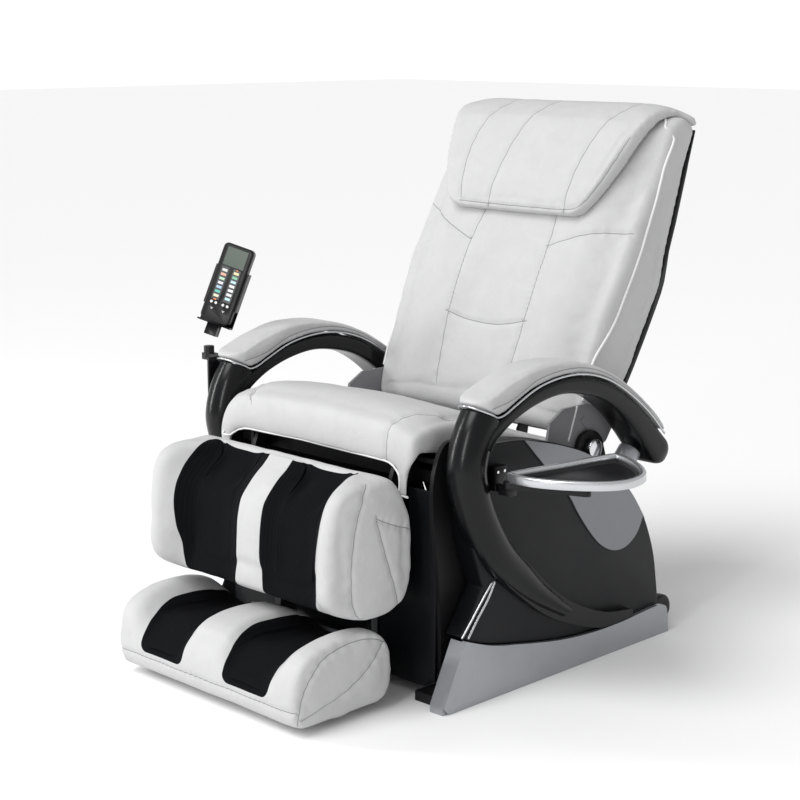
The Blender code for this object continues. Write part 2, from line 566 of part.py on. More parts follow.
def leg_unit(parent):
    """Frame and calf rest that swing about the leg axle."""
    y0, z0 = LEG_PIVOT

    frame = rod("leg_frame", (-0.203, 0, 0), (0.203, 0, 0), 0.0105, STEEL, 20, parent)
    arm = local([(-0.401, 0.36), (-0.4015, 0.400), (-0.385, 0.443), (-0.372, 0.456), (-0.362, 0.445),
                 (-0.375, 0.40), (-0.3945, 0.36)])
    arms = [prism("leg_arm_" + name, arm, side * 0.188, side * 0.197, STEEL, parent=parent)
            for name, side in SIDES]
    board = prism("leg_board", local([(-0.4015, 0.215), (-0.3955, 0.215), (-0.3955, 0.40),
                                      (-0.4015, 0.40)]),
                  -0.20, 0.20, STEEL, parent=parent)
    lug = prism("leg_motor_lug", local([(-0.398, 0.235), (-0.360, 0.236), (-0.346, 0.250),
                                        (-0.360, 0.264), (-0.398, 0.275)]),
                LEG_MOTOR_X + 0.014, LEG_MOTOR_X + 0.022, STEEL, parent=parent)
    sleeves = [box("sleeve_" + name, (side * SLIDE_X - 0.0115, -0.3965 - y0, 0.222 - z0),
                   (side * SLIDE_X + 0.0115, -0.3735 - y0, 0.385 - z0), STEEL, parent)
               for name, side in SIDES]
    join(frame, *arms, board, lug, *sleeves)
    axles = [rod("axle_end_" + name, (side * 0.19, 0, 0), (side * 0.216, 0, 0), 0.006, STEEL, 16, parent)
             for name, side in SIDES]
    join(frame, *axles)
    bores = [box("sleeve_bore_" + name, (side * SLIDE_X - 0.0088, -0.3938 - y0, 0.20 - z0),
                 (side * SLIDE_X + 0.0088, -0.3762 - y0, 0.40 - z0), STEEL, parent)
             for name, side in SIDES]
    cut(frame, *bores)

    calf = smooth(local([(-0.618, 0.250), (-0.614, 0.330), (-0.602, 0.400), (-0.572, 0.432),
                         (-0.525, 0.441), (-0.470, 0.432), (-0.430, 0.402), (-0.4045, 0.355), (-0.402, 0.300),
                         (-0.4045, 0.235), (-0.428, 0.192), (-0.475, 0.180), (-0.530, 0.182),
                         (-0.582, 0.200), (-0.610, 0.222)]), 2, closed=True)
    rest = prism("calf_rest", calf, -CALF_HALF, CALF_HALF, LEATHER, parent=parent)
    well = smooth(local([(-0.66, 0.16), (-0.59, 0.19), (-0.562, 0.25), (-0.556, 0.33), (-0.545, 0.37),
                         (-0.50, 0.40), (-0.46, 0.48), (-0.66, 0.48)]), 2, closed=True)
    cut(rest, *[prism("calf_well_" + name, well, side * 0.068, side * 0.170, LEATHER, parent=parent)
                for name, side in SIDES])


def foot_unit(parent):
    """Foot rest and the two rods it slides on."""
    y0, z0 = LEG_PIVOT

    bars = [box("slide_" + name, (side * SLIDE_X - 0.008, -0.393 - y0, 0.060 - z0),
                (side * SLIDE_X + 0.008, -0.377 - y0, 0.375 - z0), BRIGHT, parent)
            for name, side in SIDES]
    frame = box("foot_frame", (-0.150, -0.4455 - y0, 0.060 - z0), (0.150, -0.377 - y0, 0.068 - z0),
                BRIGHT, parent)
    flange = box("foot_flange", (-0.150, -0.4455 - y0, 0.060 - z0), (0.150, -0.4415 - y0, 0.11 - z0),
                 BRIGHT, parent)
    join(frame, *bars, flange)

    foot = smooth(local([(-0.690, 0.024), (-0.697, 0.085), (-0.680, 0.138), (-0.635, 0.160),
                         (-0.570, 0.168),
                         (-0.500, 0.160), (-0.461, 0.132), (-0.448, 0.080), (-0.463, 0.026),
                         (-0.520, 0.014), (-0.640, 0.014)]), 2, closed=True)
    rest = prism("foot_rest", foot, -FOOT_HALF, FOOT_HALF, LEATHER, parent=parent)
    groove = smooth(local([(-0.655, 0.20), (-0.655, 0.135), (-0.60, 0.118), (-0.52, 0.110), (-0.44, 0.12),
                           (-0.42, 0.20)]), 2, closed=True)
    cut(rest, *[prism("foot_well_" + name, groove, side * 0.064, side * 0.178, LEATHER, parent=parent)
                for name, side in SIDES])


# ---- side tray ----
def tray(parent):
    x0, y0 = TRAY_PIVOT
    around = [(0.408, -0.309), (0.457, -0.310), (0.520, -0.281), (0.572, -0.236), (0.591, -0.187),
              (0.575, -0.128), (0.522, -0.078), (0.452, -0.044), (0.432, -0.075), (0.416, -0.180),
              (0.3955, -0.288)]
    outline = smooth([(x - x0, y - y0) for x, y in around], 3, closed=True)
    low = TRAY_TOP - TRAY_RIM
    rim = prism("tray_rim", outline, low, TRAY_TOP, SILVER, "Z", parent)
    round_edges(rim, 0.002, 1, 60)
    cut(rim, prism("tray_room", offset(outline, -0.012), low - 0.01, TRAY_TOP + 0.01, SILVER, "Z",
                   parent))
    dish = prism("tray_dish", offset(outline, -0.0124), low + 0.001, TRAY_TOP - 0.008, PLASTIC, "Z",
                 parent)
    cut(dish, prism("dish_room", offset(outline, -0.0165), low + 0.004, TRAY_TOP, PLASTIC, "Z", parent))

    end = Vector((0.135, 0.052))
    across = Vector((-end.y, end.x)).normalized() * 0.009
    heading = math.degrees(math.atan2(end.y, end.x))
    lever = arc(end, 0.009, heading - 90, heading + 90, 6)
    lever += arc((0, 0), 0.0115, heading + 60, heading + 300, 10)
    arm = prism("tray_arm", lever, low - 0.0125, low - GAP, PLASTIC, "Z", parent)
    cut(arm, rod("tray_bore", (0, 0, low - 0.03), (0, 0, low + 0.01), 0.0055, PLASTIC, 16, parent))

    block = box("tray_hinge", (SHELL_OUT + GAP, -0.296, 0.400), (0.362, -0.264, 0.446), PLASTIC)
    round_edges(block, 0.003, 2, 60)
    lug = [(0.350, -0.294), (0.3795, -0.294), (0.3795, -0.307), (0.4075, -0.307), (0.4075, -0.289),
           (0.350, -0.282)]
    join(block, prism("hinge_lug", lug, 0.401, low - 0.0132, PLASTIC, "Z"),
         rod("hinge_pin", (x0, y0, 0.403), (x0, y0, low - 0.001), 0.005, PLASTIC, 16))


# ---- remote control on the right armrest ----
def remote(parent):
    """The cradle and remote are modelled upright, face towards -Y, and turned by their parent."""
    w, t, h = REMOTE_HALF
    outline = arc((w - 0.012, -h + 0.012), 0.012, -90, 0, 4)
    outline += arc((w - 0.010, h - 0.010), 0.010, 0, 90, 4)
    outline += arc((-w + 0.010, h - 0.010), 0.010, 90, 180, 4)
    outline += arc((-w + 0.012, -h + 0.012), 0.012, 180, 270, 4)
    body = prism("remote_body", outline, -t, t, PLASTIC, "Y", parent)
    round_edges(body, 0.003, 1, 60)
    room = 0.0016
    cut(body, box("screen_room", (-0.0235, -t - 0.01, 0.037), (0.0235, -t + room, 0.077), PLASTIC,
                  parent))
    box("remote_screen", (-0.0232, -t + 0.0003, 0.0373), (0.0232, -t + room - 0.0003, 0.0767), GLASS,
        parent)
    wells = []
    for i, x in enumerate((-0.0185, -0.0085, 0.0075, 0.0175)):
        spot = (x, -t, -0.044)
        wells.append(rod("key_well_%d" % i, (0, -0.01, 0), (0, 0.0030, 0), 0.0034, PLASTIC, 12, parent,
                         spot))
        rod("round_key_%d" % (i + 1), (0, -0.0012, 0), (0, 0.0014, 0), 0.0029, KEY, 12, parent, spot)
    for i, x in enumerate((-0.0135, 0.0125)):
        spot = (x, -t, -0.0575)
        corner = [(-0.0036, 0.0022), (0.0036, 0.0022), (0.0, -0.0026)]
        wide = [(-0.0046, 0.0028), (0.0046, 0.0028), (0.0, -0.0036)]
        wells.append(prism("mode_well_%d" % i, wide, -0.01, 0.0030, PLASTIC, "Y", parent, spot))
        prism("mode_key_%d" % (i + 1), corner, -0.0012, 0.0014, KEY, "Y", parent, spot)
    cut(body, *wells)

    side = w + 0.0006
    cradle = box("remote_cradle", (-side - 0.003, t + 0.0006, -h - 0.004),
                 (side + 0.003, t + 0.0040, 0.034),
                 PLASTIC, parent)
    cheeks = [box("cheek_" + name, (s * side, -0.006, -0.050), (s * (side + 0.003), t + 0.002, 0.034),
                  PLASTIC, parent)
              for name, s in SIDES]
    shelf = box("shelf", (-side - 0.003, -0.008, -h - 0.004), (side + 0.003, t + 0.002, -h - 0.0006),
                PLASTIC, parent)
    stem = box("stem", (-0.013, -0.008, -0.112), (0.013, t + 0.004, -h - 0.002), PLASTIC, parent)
    join(cradle, *cheeks, shelf, stem)


def remote_mount():
    x, y = REMOTE_POST
    bracket = box("remote_bracket", (-0.3875, -0.352, 0.450), (-0.3825, -0.302, 0.560), PLASTIC)
    boss = rod("bracket_boss", (-0.384, -0.344, 0.480), (-0.3786, -0.344, 0.480), 0.008, PLASTIC, 16)
    arm = box("bracket_arm", (x - 0.012, y - 0.010, 0.546), (-0.384, y + 0.010, 0.560), PLASTIC)
    post = rod("bracket_post", (x, y, 0.550), (x, y, 0.5745), 0.011, PLASTIC, 20)
    join(bracket, boss, arm, post)


base_frame()
for side_name, side_sign in SIDES:
    side_panels(side_name, side_sign)
    armrest(side_name, side_sign)
    wheels(side_name, side_sign)
covers()
electrics()
seat()

back_axis = axis_empty("back_axis", (0, *BACK_PIVOT), (-math.radians(BACK_ANGLE), 0, 0))
back(back_axis)
carriage_axis = axis_empty("carriage_axis", (0, 0, CARRIAGE_Z))
carriage_axis.parent = back_axis
massage_unit(carriage_axis)

leg_axis = axis_empty("leg_axis", (0, *LEG_PIVOT))
leg_unit(leg_axis)
foot_unit(leg_axis)

motor("leg_motor", LEG_MOTOR_X, LEG_MOTOR_FOOT, LEG_MOTOR_HEAD, 0.330, 0.075)
motor("back_motor", BACK_MOTOR_X, BACK_MOTOR_FOOT, (BACK_PIVOT[0], BACK_PIVOT[1] - BACK_LEVER), 0.270,
      0.115)

tray(axis_empty("tray_axis", (*TRAY_PIVOT, 0)))
remote_turn = (Matrix.Rotation(math.radians(REMOTE_YAW), 3,
                               "Z") @ Matrix.Rotation(math.radians(REMOTE_LEAN), 3, "X")
               @ Matrix.Rotation(math.radians(REMOTE_ROLL), 3, "Y")).to_euler()
remote(axis_empty("remote_axis", REMOTE_CENTRE, remote_turn))
remote_mount()
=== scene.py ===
import math

import bmesh
import bpy
import numpy as np
from mathutils import Matrix, Vector, noise
from mathutils.bvhtree import BVHTree
from mathutils.kdtree import KDTree


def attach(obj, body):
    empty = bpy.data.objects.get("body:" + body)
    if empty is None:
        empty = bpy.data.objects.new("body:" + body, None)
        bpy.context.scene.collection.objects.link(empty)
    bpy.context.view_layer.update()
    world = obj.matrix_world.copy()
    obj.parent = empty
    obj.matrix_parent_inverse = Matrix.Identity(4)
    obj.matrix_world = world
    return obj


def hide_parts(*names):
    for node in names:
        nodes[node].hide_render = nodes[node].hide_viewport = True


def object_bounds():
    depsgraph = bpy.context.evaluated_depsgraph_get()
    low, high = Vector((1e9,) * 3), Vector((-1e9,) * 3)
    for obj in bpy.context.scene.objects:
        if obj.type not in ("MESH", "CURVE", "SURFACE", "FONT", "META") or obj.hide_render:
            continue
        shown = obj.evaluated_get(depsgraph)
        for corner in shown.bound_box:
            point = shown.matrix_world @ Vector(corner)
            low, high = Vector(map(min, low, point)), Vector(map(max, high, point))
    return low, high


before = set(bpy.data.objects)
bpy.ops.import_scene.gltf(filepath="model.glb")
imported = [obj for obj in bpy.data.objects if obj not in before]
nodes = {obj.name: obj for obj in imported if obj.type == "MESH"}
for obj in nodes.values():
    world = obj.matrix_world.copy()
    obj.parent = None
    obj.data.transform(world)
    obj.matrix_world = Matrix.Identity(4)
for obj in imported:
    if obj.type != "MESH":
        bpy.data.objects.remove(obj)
cadLow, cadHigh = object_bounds()
sides = (("left", 1), ("right", -1))
backPivot = Vector((0, 0.060, 0.412))
backLean = math.radians(28.5)


# ---- small helpers ----
def backPoint(x, y, z):
    """A point given upright about the recline axis, leaned to where the back stands."""
    return backPivot + Vector((x, z * math.sin(backLean) + y * math.cos(backLean),
                               z * math.cos(backLean) - y * math.sin(backLean)))


def curve(points, steps=6, closed=False):
    """Smooth line of vectors through the guide points."""
    guide = [Vector(p) for p in points]
    n = len(guide)
    line = []
    for i in range(n if closed else n - 1):
        if closed:
            a, b, c, d = (guide[(i + k) % n] for k in (-1, 0, 1, 2))
        else:
            a, b, c, d = guide[max(i - 1, 0)], guide[i], guide[i + 1], guide[min(i + 2, n - 1)]
        for k in range(steps):
            t = k / steps
            line.append(0.5 * (2 * b + (c - a) * t + (2 * a - 5 * b + 4 * c - d) * t ** 2
                               + (3 * b - a - 3 * c + d) * t ** 3))
    if not closed:
        line.append(guide[-1])
    return line


def newPiece(name, bm, material, body, smoothAngle=40):
    bmesh.ops.recalc_face_normals(bm, faces=bm.faces)
    if bm.calc_volume(signed=True) < 0:
        bmesh.ops.reverse_faces(bm, faces=bm.faces)
    mesh = bpy.data.meshes.new(name)
    bm.to_mesh(mesh)
    bm.free()
    mesh.polygons.foreach_set("use_smooth", [True] * len(mesh.polygons))
    if smoothAngle:
        mesh.set_sharp_from_angle(angle=math.radians(smoothAngle))
    mesh.materials.append(material)
    obj = bpy.data.objects.new(name, mesh)
    bpy.context.scene.collection.objects.link(obj)
    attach(obj, body)
    return obj


def tube(bm, line, radius, sides=12):
    """Adds a round tube with flat closed ends along a line of 3D points."""
    rings = []
    frameUp = None
    for i, point in enumerate(line):
        along = (line[min(i + 1, len(line) - 1)] - line[max(i - 1, 0)]).normalized()
        if frameUp is None:
            frameUp = along.orthogonal().normalized()
        frameUp = (frameUp - along * frameUp.dot(along)).normalized()
        across = along.cross(frameUp)
        r = radius(i / (len(line) - 1)) if callable(radius) else radius
        rings.append([bm.verts.new(point + (frameUp * math.cos(t) + across * math.sin(t)) * r)
                      for t in (math.tau * k / sides for k in range(sides))])
    for first, second in zip(rings, rings[1:]):
        for k in range(sides):
            bm.faces.new((first[k - 1], first[k], second[k], second[k - 1]))
    bm.faces.new(rings[0])
    bm.faces.new(rings[-1][::-1])


def extrude(bm, outline, low, high, axis="X"):
    """Adds a closed slab of the outline between two heights along an axis."""
    place = {"X": lambda u, v, w: (w, u, v), "Y": lambda u, v, w: (u, w, v), "Z": lambda u, v, w: (u, v, w)}[axis]
    loops = [[bm.verts.new(place(p[0], p[1], w)) for p in outline] for w in (low, high)]
    n = len(outline)
    for k in range(n):
        bm.faces.new((loops[0][k - 1], loops[0][k], loops[1][k], loops[1][k - 1]))
    bm.faces.new(loops[0])
    bm.faces.new(loops[1])


def bevelSharp(bm, width, segments=3, angle=40):
    limit = math.radians(angle)
    edges = [e for e in bm.edges if len(e.link_faces) == 2 and e.calc_face_angle(0) > limit]
    bmesh.ops.bevel(bm, geom=edges, offset=width, offset_type="OFFSET", segments=segments, profile=0.5,
                    affect="EDGES", clamp_overlap=True)


def nodeMesh(name):
    """A merged copy of a CAD node's shape at rest, as a bmesh in the row frame."""
    source = nodes[name]
    bm = bmesh.new()
    bm.from_mesh(source.data)
    bm.transform(source.matrix_world)
    bmesh.ops.remove_doubles(bm, verts=bm.verts, dist=0.00002)
    return bm


def refine(name, material, body, bevel=0.0015, angle=32, segments=2):
    """A CAD node again, with bevelled edges and clean shading."""
    bm = nodeMesh(name)
    bmesh.ops.dissolve_limit(bm, angle_limit=math.radians(1.0), verts=bm.verts, edges=bm.edges)
    if bevel:
        bevelSharp(bm, bevel, segments, angle)
    obj = newPiece(name + "_look", bm, material, body, 35)
    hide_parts(name)
    return obj


# ---- materials ----
def newGroup(name, inputs):
    """An empty shader group with the given (name, socket type, default) inputs and a look as its outputs."""
    group = bpy.data.node_groups.new(name, "ShaderNodeTree")
    for label, kind, value in inputs:
        socket = group.interface.new_socket(name=label, in_out="INPUT", socket_type="NodeSocket" + kind)
        socket.default_value = value
    for label, kind in (("Colour", "Color"), ("Roughness", "Float"), ("Normal", "Vector")):
        group.interface.new_socket(name=label, in_out="OUTPUT", socket_type="NodeSocket" + kind)
    return group, group.nodes.new("NodeGroupInput"), group.nodes.new("NodeGroupOutput")


def addNode(tree, kind, settings=None, **inputs):
    """A node with its properties set and its sockets linked or filled in."""
    node = tree.nodes.new("ShaderNode" + kind)
    for key, value in (settings or {}).items():
        setattr(node, key, value)
    for key, value in inputs.items():
        numbered = key[0] == "i" and key[1:].isdigit()
        socket = node.inputs[int(key[1:]) if numbered else key.replace("_", " ")]
        if isinstance(value, bpy.types.NodeSocket):
            tree.links.new(value, socket)
        else:
            socket.default_value = value
    return node


def bandMask(tree, value, centre, halfWidth, soft):
    """1 where value lies within halfWidth of centre, fading over soft."""
    away = addNode(tree, "Math", {"operation": "SUBTRACT"}, i0=value, i1=centre).outputs[0]
    away = addNode(tree, "Math", {"operation": "ABSOLUTE"}, i0=away).outputs[0]
    ramp = addNode(tree, "MapRange", {"interpolation_type": "SMOOTHSTEP"}, i0=away, i1=halfWidth, i2=halfWidth + soft,
                   i3=1.0, i4=0.0)
    return ramp.outputs[0]


def giveOut(group, out, colour, roughness, normal):
    for number, socket in enumerate((colour, roughness, normal)):
        group.links.new(socket, out.inputs[number])
    return group


def hardGroup():
    group, given, out = newGroup("hardSurface", [
        ("Colour", "Color", (0.5, 0.5, 0.5, 1)), ("Roughness", "Float", 0.4), ("Grain Scale", "Float", 600.0),
        ("Grain Depth", "Float", 0.00004), ("Mottle", "Float", 0.08)])
    spot = addNode(group, "TexCoord").outputs["Object"]
    grain = addNode(group, "TexNoise", None, Vector=spot, Scale=given.outputs["Grain Scale"], Detail=3.0)
    cloud = addNode(group, "TexNoise", None, Vector=spot, Scale=9.0, Detail=4.0, Roughness=0.6)
    lift = addNode(group, "Bump", None, Strength=0.6, Distance=given.outputs["Grain Depth"],
                   Height=grain.outputs["Fac"])
    shift = addNode(group, "MapRange", None, i0=cloud.outputs["Fac"], i1=0.25, i2=0.75, i3=-1.0, i4=1.0)
    part = addNode(group, "Math", {"operation": "MULTIPLY"}, i0=shift.outputs[0], i1=given.outputs["Mottle"])
    rough = addNode(group, "Math", {"operation": "ADD", "use_clamp": True}, i0=given.outputs["Roughness"],
                    i1=part.outputs[0])
    tone = addNode(group, "Math", {"operation": "ADD"}, i0=part.outputs[0], i1=1.0)
    tinted = addNode(group, "VectorMath", {"operation": "SCALE"}, i0=given.outputs["Colour"],
                     Scale=tone.outputs[0])
    return giveOut(group, out, tinted.outputs[0], rough.outputs[0], lift.outputs[0])


def softGroup():
    """Leather, with dark channel fabric where the piece's inlay attribute is positive."""
    group, given, out = newGroup("softCover", [
        ("Colour", "Color", (0.8, 0.8, 0.8, 1)), ("Seam Colour", "Color", (0.3, 0.3, 0.3, 1)),
        ("Fabric Colour", "Color", (0.0022, 0.0025, 0.0035, 1)), ("Roughness", "Float", 0.5),
        ("Grain Scale", "Float", 420.0), ("Grain Depth", "Float", 0.00022), ("Rib Pitch", "Float", 0.0075)])
    spot = addNode(group, "TexCoord").outputs["Object"]
    pebble = addNode(group, "TexVoronoi", {"feature": "F1"}, Vector=spot, Scale=given.outputs["Grain Scale"])
    fine = addNode(group, "TexNoise", None, Vector=spot, Scale=900.0, Detail=2.0)
    crease = addNode(group, "TexNoise", None, Vector=spot, Scale=26.0, Detail=6.0, Roughness=0.62, Distortion=0.8)
    mixed = addNode(group, "Math", {"operation": "ADD"}, i0=pebble.outputs["Distance"], i1=fine.outputs["Fac"])
    skin = addNode(group, "Bump", None, Strength=0.5, Distance=given.outputs["Grain Depth"], Height=mixed.outputs[0])
    fold = addNode(group, "Bump", None, Strength=0.55, Distance=0.0016, Height=crease.outputs["Fac"],
                   Normal=skin.outputs[0])
    signed = addNode(group, "Attribute", {"attribute_name": "seamSide"}).outputs["Fac"]
    near = addNode(group, "Attribute", {"attribute_name": "seamNear"}).outputs["Fac"]
    close = addNode(group, "MapRange", None, i0=near, i1=0.0045, i2=0.0065, i3=1.0, i4=0.0).outputs[0]
    line = bandMask(group, signed, 0.0, 0.00045, 0.0009)
    line = addNode(group, "Math", {"operation": "MULTIPLY"}, i0=line, i1=close).outputs[0]
    # painted shade and light: the leather colour is scaled darker in the low troughs of the crease bump and lighter
    # on its crests
    foldShade = addNode(group, "MapRange", None, i0=crease.outputs["Fac"], i1=0.3, i2=0.7, i3=0.97, i4=1.03).outputs[0]
    hide = addNode(group, "VectorMath", {"operation": "SCALE"}, i0=given.outputs["Colour"], Scale=foldShade).outputs[0]
    stitched = addNode(group, "Mix", {"data_type": "RGBA"}, i0=line, i6=hide, i7=given.outputs["Seam Colour"])
    split = addNode(group, "SeparateXYZ", None, i0=spot).outputs[0]
    rib = addNode(group, "Math", {"operation": "DIVIDE"}, i0=split, i1=given.outputs["Rib Pitch"]).outputs[0]
    rib = addNode(group, "Math", {"operation": "MULTIPLY"}, i0=rib, i1=math.tau).outputs[0]
    rib = addNode(group, "Math", {"operation": "COSINE"}, i0=rib).outputs[0]
    weave = addNode(group, "TexNoise", None, Vector=spot, Scale=1400.0, Detail=2.0)
    # painted light and shade: the fabric colour is lighter on the rib crests and darker in the rib grooves, following
    # the same cosine that lifts the ribs
    ribShade = addNode(group, "MapRange", None, i0=rib, i1=-1.0, i2=1.0, i3=0.8, i4=1.25).outputs[0]
    cloth = addNode(group, "VectorMath", {"operation": "SCALE"}, i0=given.outputs["Fabric Colour"],
                    Scale=ribShade).outputs[0]
    ribLift = addNode(group, "Bump", None, Strength=0.3, Distance=0.0004, Height=rib)
    weaveLift = addNode(group, "Bump", None, Strength=0.6, Distance=0.0002, Height=weave.outputs["Fac"],
                        Normal=ribLift.outputs[0])
    inlay = addNode(group, "Attribute", {"attribute_name": "inlay"}).outputs["Fac"]
    chosen = addNode(group, "MapRange", None, i0=inlay, i1=0.0002, i2=0.0008, i3=0.0, i4=1.0).outputs[0]
    colour = addNode(group, "Mix", {"data_type": "RGBA"}, i0=chosen, i6=stitched.outputs[2], i7=cloth)
    rough = addNode(group, "Mix", {"data_type": "FLOAT"}, i0=chosen, i2=given.outputs["Roughness"], i3=1.0)
    normal = addNode(group, "Mix", {"data_type": "VECTOR"}, i0=chosen, i4=fold.outputs[0], i5=weaveLift.outputs[0])
    return giveOut(group, out, colour.outputs[2], rough.outputs[0], normal.outputs[1])


def surface(name, group, metallic=0.0, coat=0.0, shine=0.5, **values):
    """A material: one shader group with its inputs set, feeding a Principled shader."""
    material = bpy.data.materials.new(name)
    material.use_nodes = True
    tree = material.node_tree
    tree.nodes.clear()
    node = tree.nodes.new("ShaderNodeGroup")
    node.node_tree = group
    for key, value in values.items():
        socket = node.inputs[key.replace("_", " ")]
        socket.default_value = (*value, 1.0) if isinstance(value, tuple) else value
    look = node.outputs
    shader = addNode(tree, "BsdfPrincipled", None, Base_Color=look["Colour"], Roughness=look["Roughness"],
                     Normal=look["Normal"], Metallic=metallic, Coat_Weight=coat, Coat_Roughness=0.06,
                     Specular_IOR_Level=shine)
    end = tree.nodes.new("ShaderNodeOutputMaterial")
    tree.links.new(shader.outputs[0], end.inputs[0])
    return material


hard = hardGroup()
soft = softGroup()
leather = surface("leather", soft, Colour=(0.525, 0.525, 0.528), Seam_Colour=(0.24, 0.24, 0.25), Roughness=0.52,
                  shine=0.16)
piping = surface("piping", soft, Colour=(0.86, 0.86, 0.86), Seam_Colour=(0.8, 0.8, 0.8), Roughness=0.45)
glossBlack = surface("glossBlack", hard, Colour=(0.002, 0.0023, 0.003), Roughness=0.24, coat=0.05,
                     Grain_Depth=0.00001, Mottle=0.03, shine=0.26)
shellBlack = surface("shellBlack", hard, Colour=(0.004, 0.0045, 0.006), Roughness=0.4, Grain_Depth=0.00005,
                     shine=0.22)
silverPaint = surface("silverPaint", hard, Colour=(0.36, 0.37, 0.39), Roughness=0.34, metallic=0.7, coat=0.15,
                      Grain_Scale=1500.0, Grain_Depth=0.00003)
brightSilver = surface("brightSilver", hard, Colour=(0.62, 0.63, 0.65), Roughness=0.24, metallic=0.85,
                       Grain_Depth=0.00001)
greyPanel = surface("greyPanel", hard, Colour=(0.22, 0.225, 0.24), Roughness=0.38, metallic=0.35,
                    Grain_Scale=1200.0)
chrome = surface("chrome", hard, Colour=(0.75, 0.76, 0.78), Roughness=0.10, metallic=1.0, Grain_Depth=0.000005,
                 Mottle=0.02)
paintedSteel = surface("paintedSteel", hard, Colour=(0.006, 0.006, 0.007), Roughness=0.48, Grain_Depth=0.00008,
                       shine=0.25)
darkPlastic = surface("darkPlastic", hard, Colour=(0.006, 0.006, 0.007), Roughness=0.34, Grain_Depth=0.00005,
                      shine=0.3)
rollerPlastic = surface("rollerPlastic", hard, Colour=(0.55, 0.55, 0.52), Roughness=0.45)
screenGlass = surface("screenGlass", hard, Colour=(0.10, 0.125, 0.105), Roughness=0.10, coat=1.0, Grain_Depth=0.0,
                      Mottle=0.05)
keyWhite = surface("keyWhite", hard, Colour=(0.80, 0.80, 0.79), Roughness=0.35)
keyGrey = surface("keyGrey", hard, Colour=(0.42, 0.43, 0.44), Roughness=0.35)
print("materials ready")


# ---- cushions ----
def cushion(name, body, shape, voxel=0.0065, pressure=4.0, start=0.006, cap=0.012, settle=3):
    """A CAD cushion remeshed, drawn in, blown up as cloth and smoothed; shape may edit the start mesh."""
    bm = nodeMesh(name)
    mesh = bpy.data.meshes.new(name + "_soft")
    bm.to_mesh(mesh)
    bm.free()
    obj = bpy.data.objects.new(name + "_soft", mesh)
    bpy.context.scene.collection.objects.link(obj)
    remesh = obj.modifiers.new("remesh", "REMESH")
    remesh.mode = "VOXEL"
    remesh.voxel_size = voxel
    applyAll(obj)
    spots = vertices(obj)
    spots = relax(obj, spots, 6)
    if shape:
        spots = relax(obj, shape(spots), settle)
    putVertices(obj, spots)
    spots = spots - normals(obj) * start
    putVertices(obj, spots)
    outward = normals(obj)
    blow(obj, pressure)
    moved = vertices(obj) - spots
    length = np.linalg.norm(moved, axis=1, keepdims=True)
    moved *= np.minimum(1.0, cap / np.maximum(length, 1e-9))
    rise = (moved * outward).sum(axis=1, keepdims=True)
    moved += outward * np.maximum(0.0, start - 0.0015 - rise)
    putVertices(obj, spots + moved)
    putVertices(obj, relax(obj, vertices(obj), 2))
    subdivide = obj.modifiers.new("subdivide", "SUBSURF")
    subdivide.levels = subdivide.render_levels = 1
    applyAll(obj)
    obj.data.materials.clear()
    obj.data.materials.append(leather)
    obj.data.polygons.foreach_set("use_smooth", [True] * len(obj.data.polygons))
    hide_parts(name)
    print(name, "cushion", len(obj.data.vertices))
    return obj


def applyAll(obj):
    """The object's mesh becomes what its modifiers make of it."""
    graph = bpy.context.evaluated_depsgraph_get()
    graph.update()
    result = bpy.data.meshes.new_from_object(obj.evaluated_get(graph))
    obj.modifiers.clear()
    old = obj.data
    obj.data = result
    bpy.data.meshes.remove(old)


def blow(obj, pressure):
    cloth = obj.modifiers.new("cloth", "CLOTH")
    settings = cloth.settings
    settings.use_pressure = True
    settings.uniform_pressure_force = pressure
    settings.effector_weights.gravity = 0.0
    settings.quality = 4
    settings.tension_stiffness = settings.compression_stiffness = 12.0
    settings.bending_stiffness = 0.6
    settings.mass = 0.35
    cloth.collision_settings.use_collision = False
    scene = bpy.context.scene
    cloth.point_cache.frame_start = 1
    cloth.point_cache.frame_end = 20
    for number in range(1, 21):
        scene.frame_set(number)
    applyAll(obj)
    scene.frame_set(1)


def vertices(obj):
    flat = np.empty(len(obj.data.vertices) * 3)
    obj.data.vertices.foreach_get("co", flat)
    return flat.reshape(-1, 3)


def putVertices(obj, spots):
    obj.data.vertices.foreach_set("co", np.ascontiguousarray(spots, dtype=np.float32).ravel())
    obj.data.update()


def normals(obj):
    flat = np.empty(len(obj.data.vertices) * 3, dtype=np.float32)
    obj.data.vertex_normals.foreach_get("vector", flat)
    return flat.reshape(-1, 3).astype(float)


def relax(obj, spots, times):
    """Laplacian smoothing."""
    pairs = np.empty(len(obj.data.edges) * 2, dtype=np.int32)
    obj.data.edges.foreach_get("vertices", pairs)
    pairs = pairs.reshape(-1, 2)
    count = np.bincount(pairs.ravel(), minlength=len(spots))[:, None]
    for _ in range(times):
        total = np.zeros_like(spots)
        for axis in range(3):
            total[:, axis] = np.bincount(pairs[:, 0], spots[pairs[:, 1], axis], len(spots))
            total[:, axis] += np.bincount(pairs[:, 1], spots[pairs[:, 0], axis], len(spots))
        spots = 0.5 * spots + 0.5 * total / np.maximum(count, 1)
    return spots


def onSurface(obj, points):
    """The nearest places on the piece, with the surface's direction there."""
    graph = bpy.context.evaluated_depsgraph_get()
    tree = BVHTree.FromObject(obj, graph)
    found = [tree.find_nearest(Vector(p)) for p in points]
    return [(hit[0], hit[1]) for hit in found]


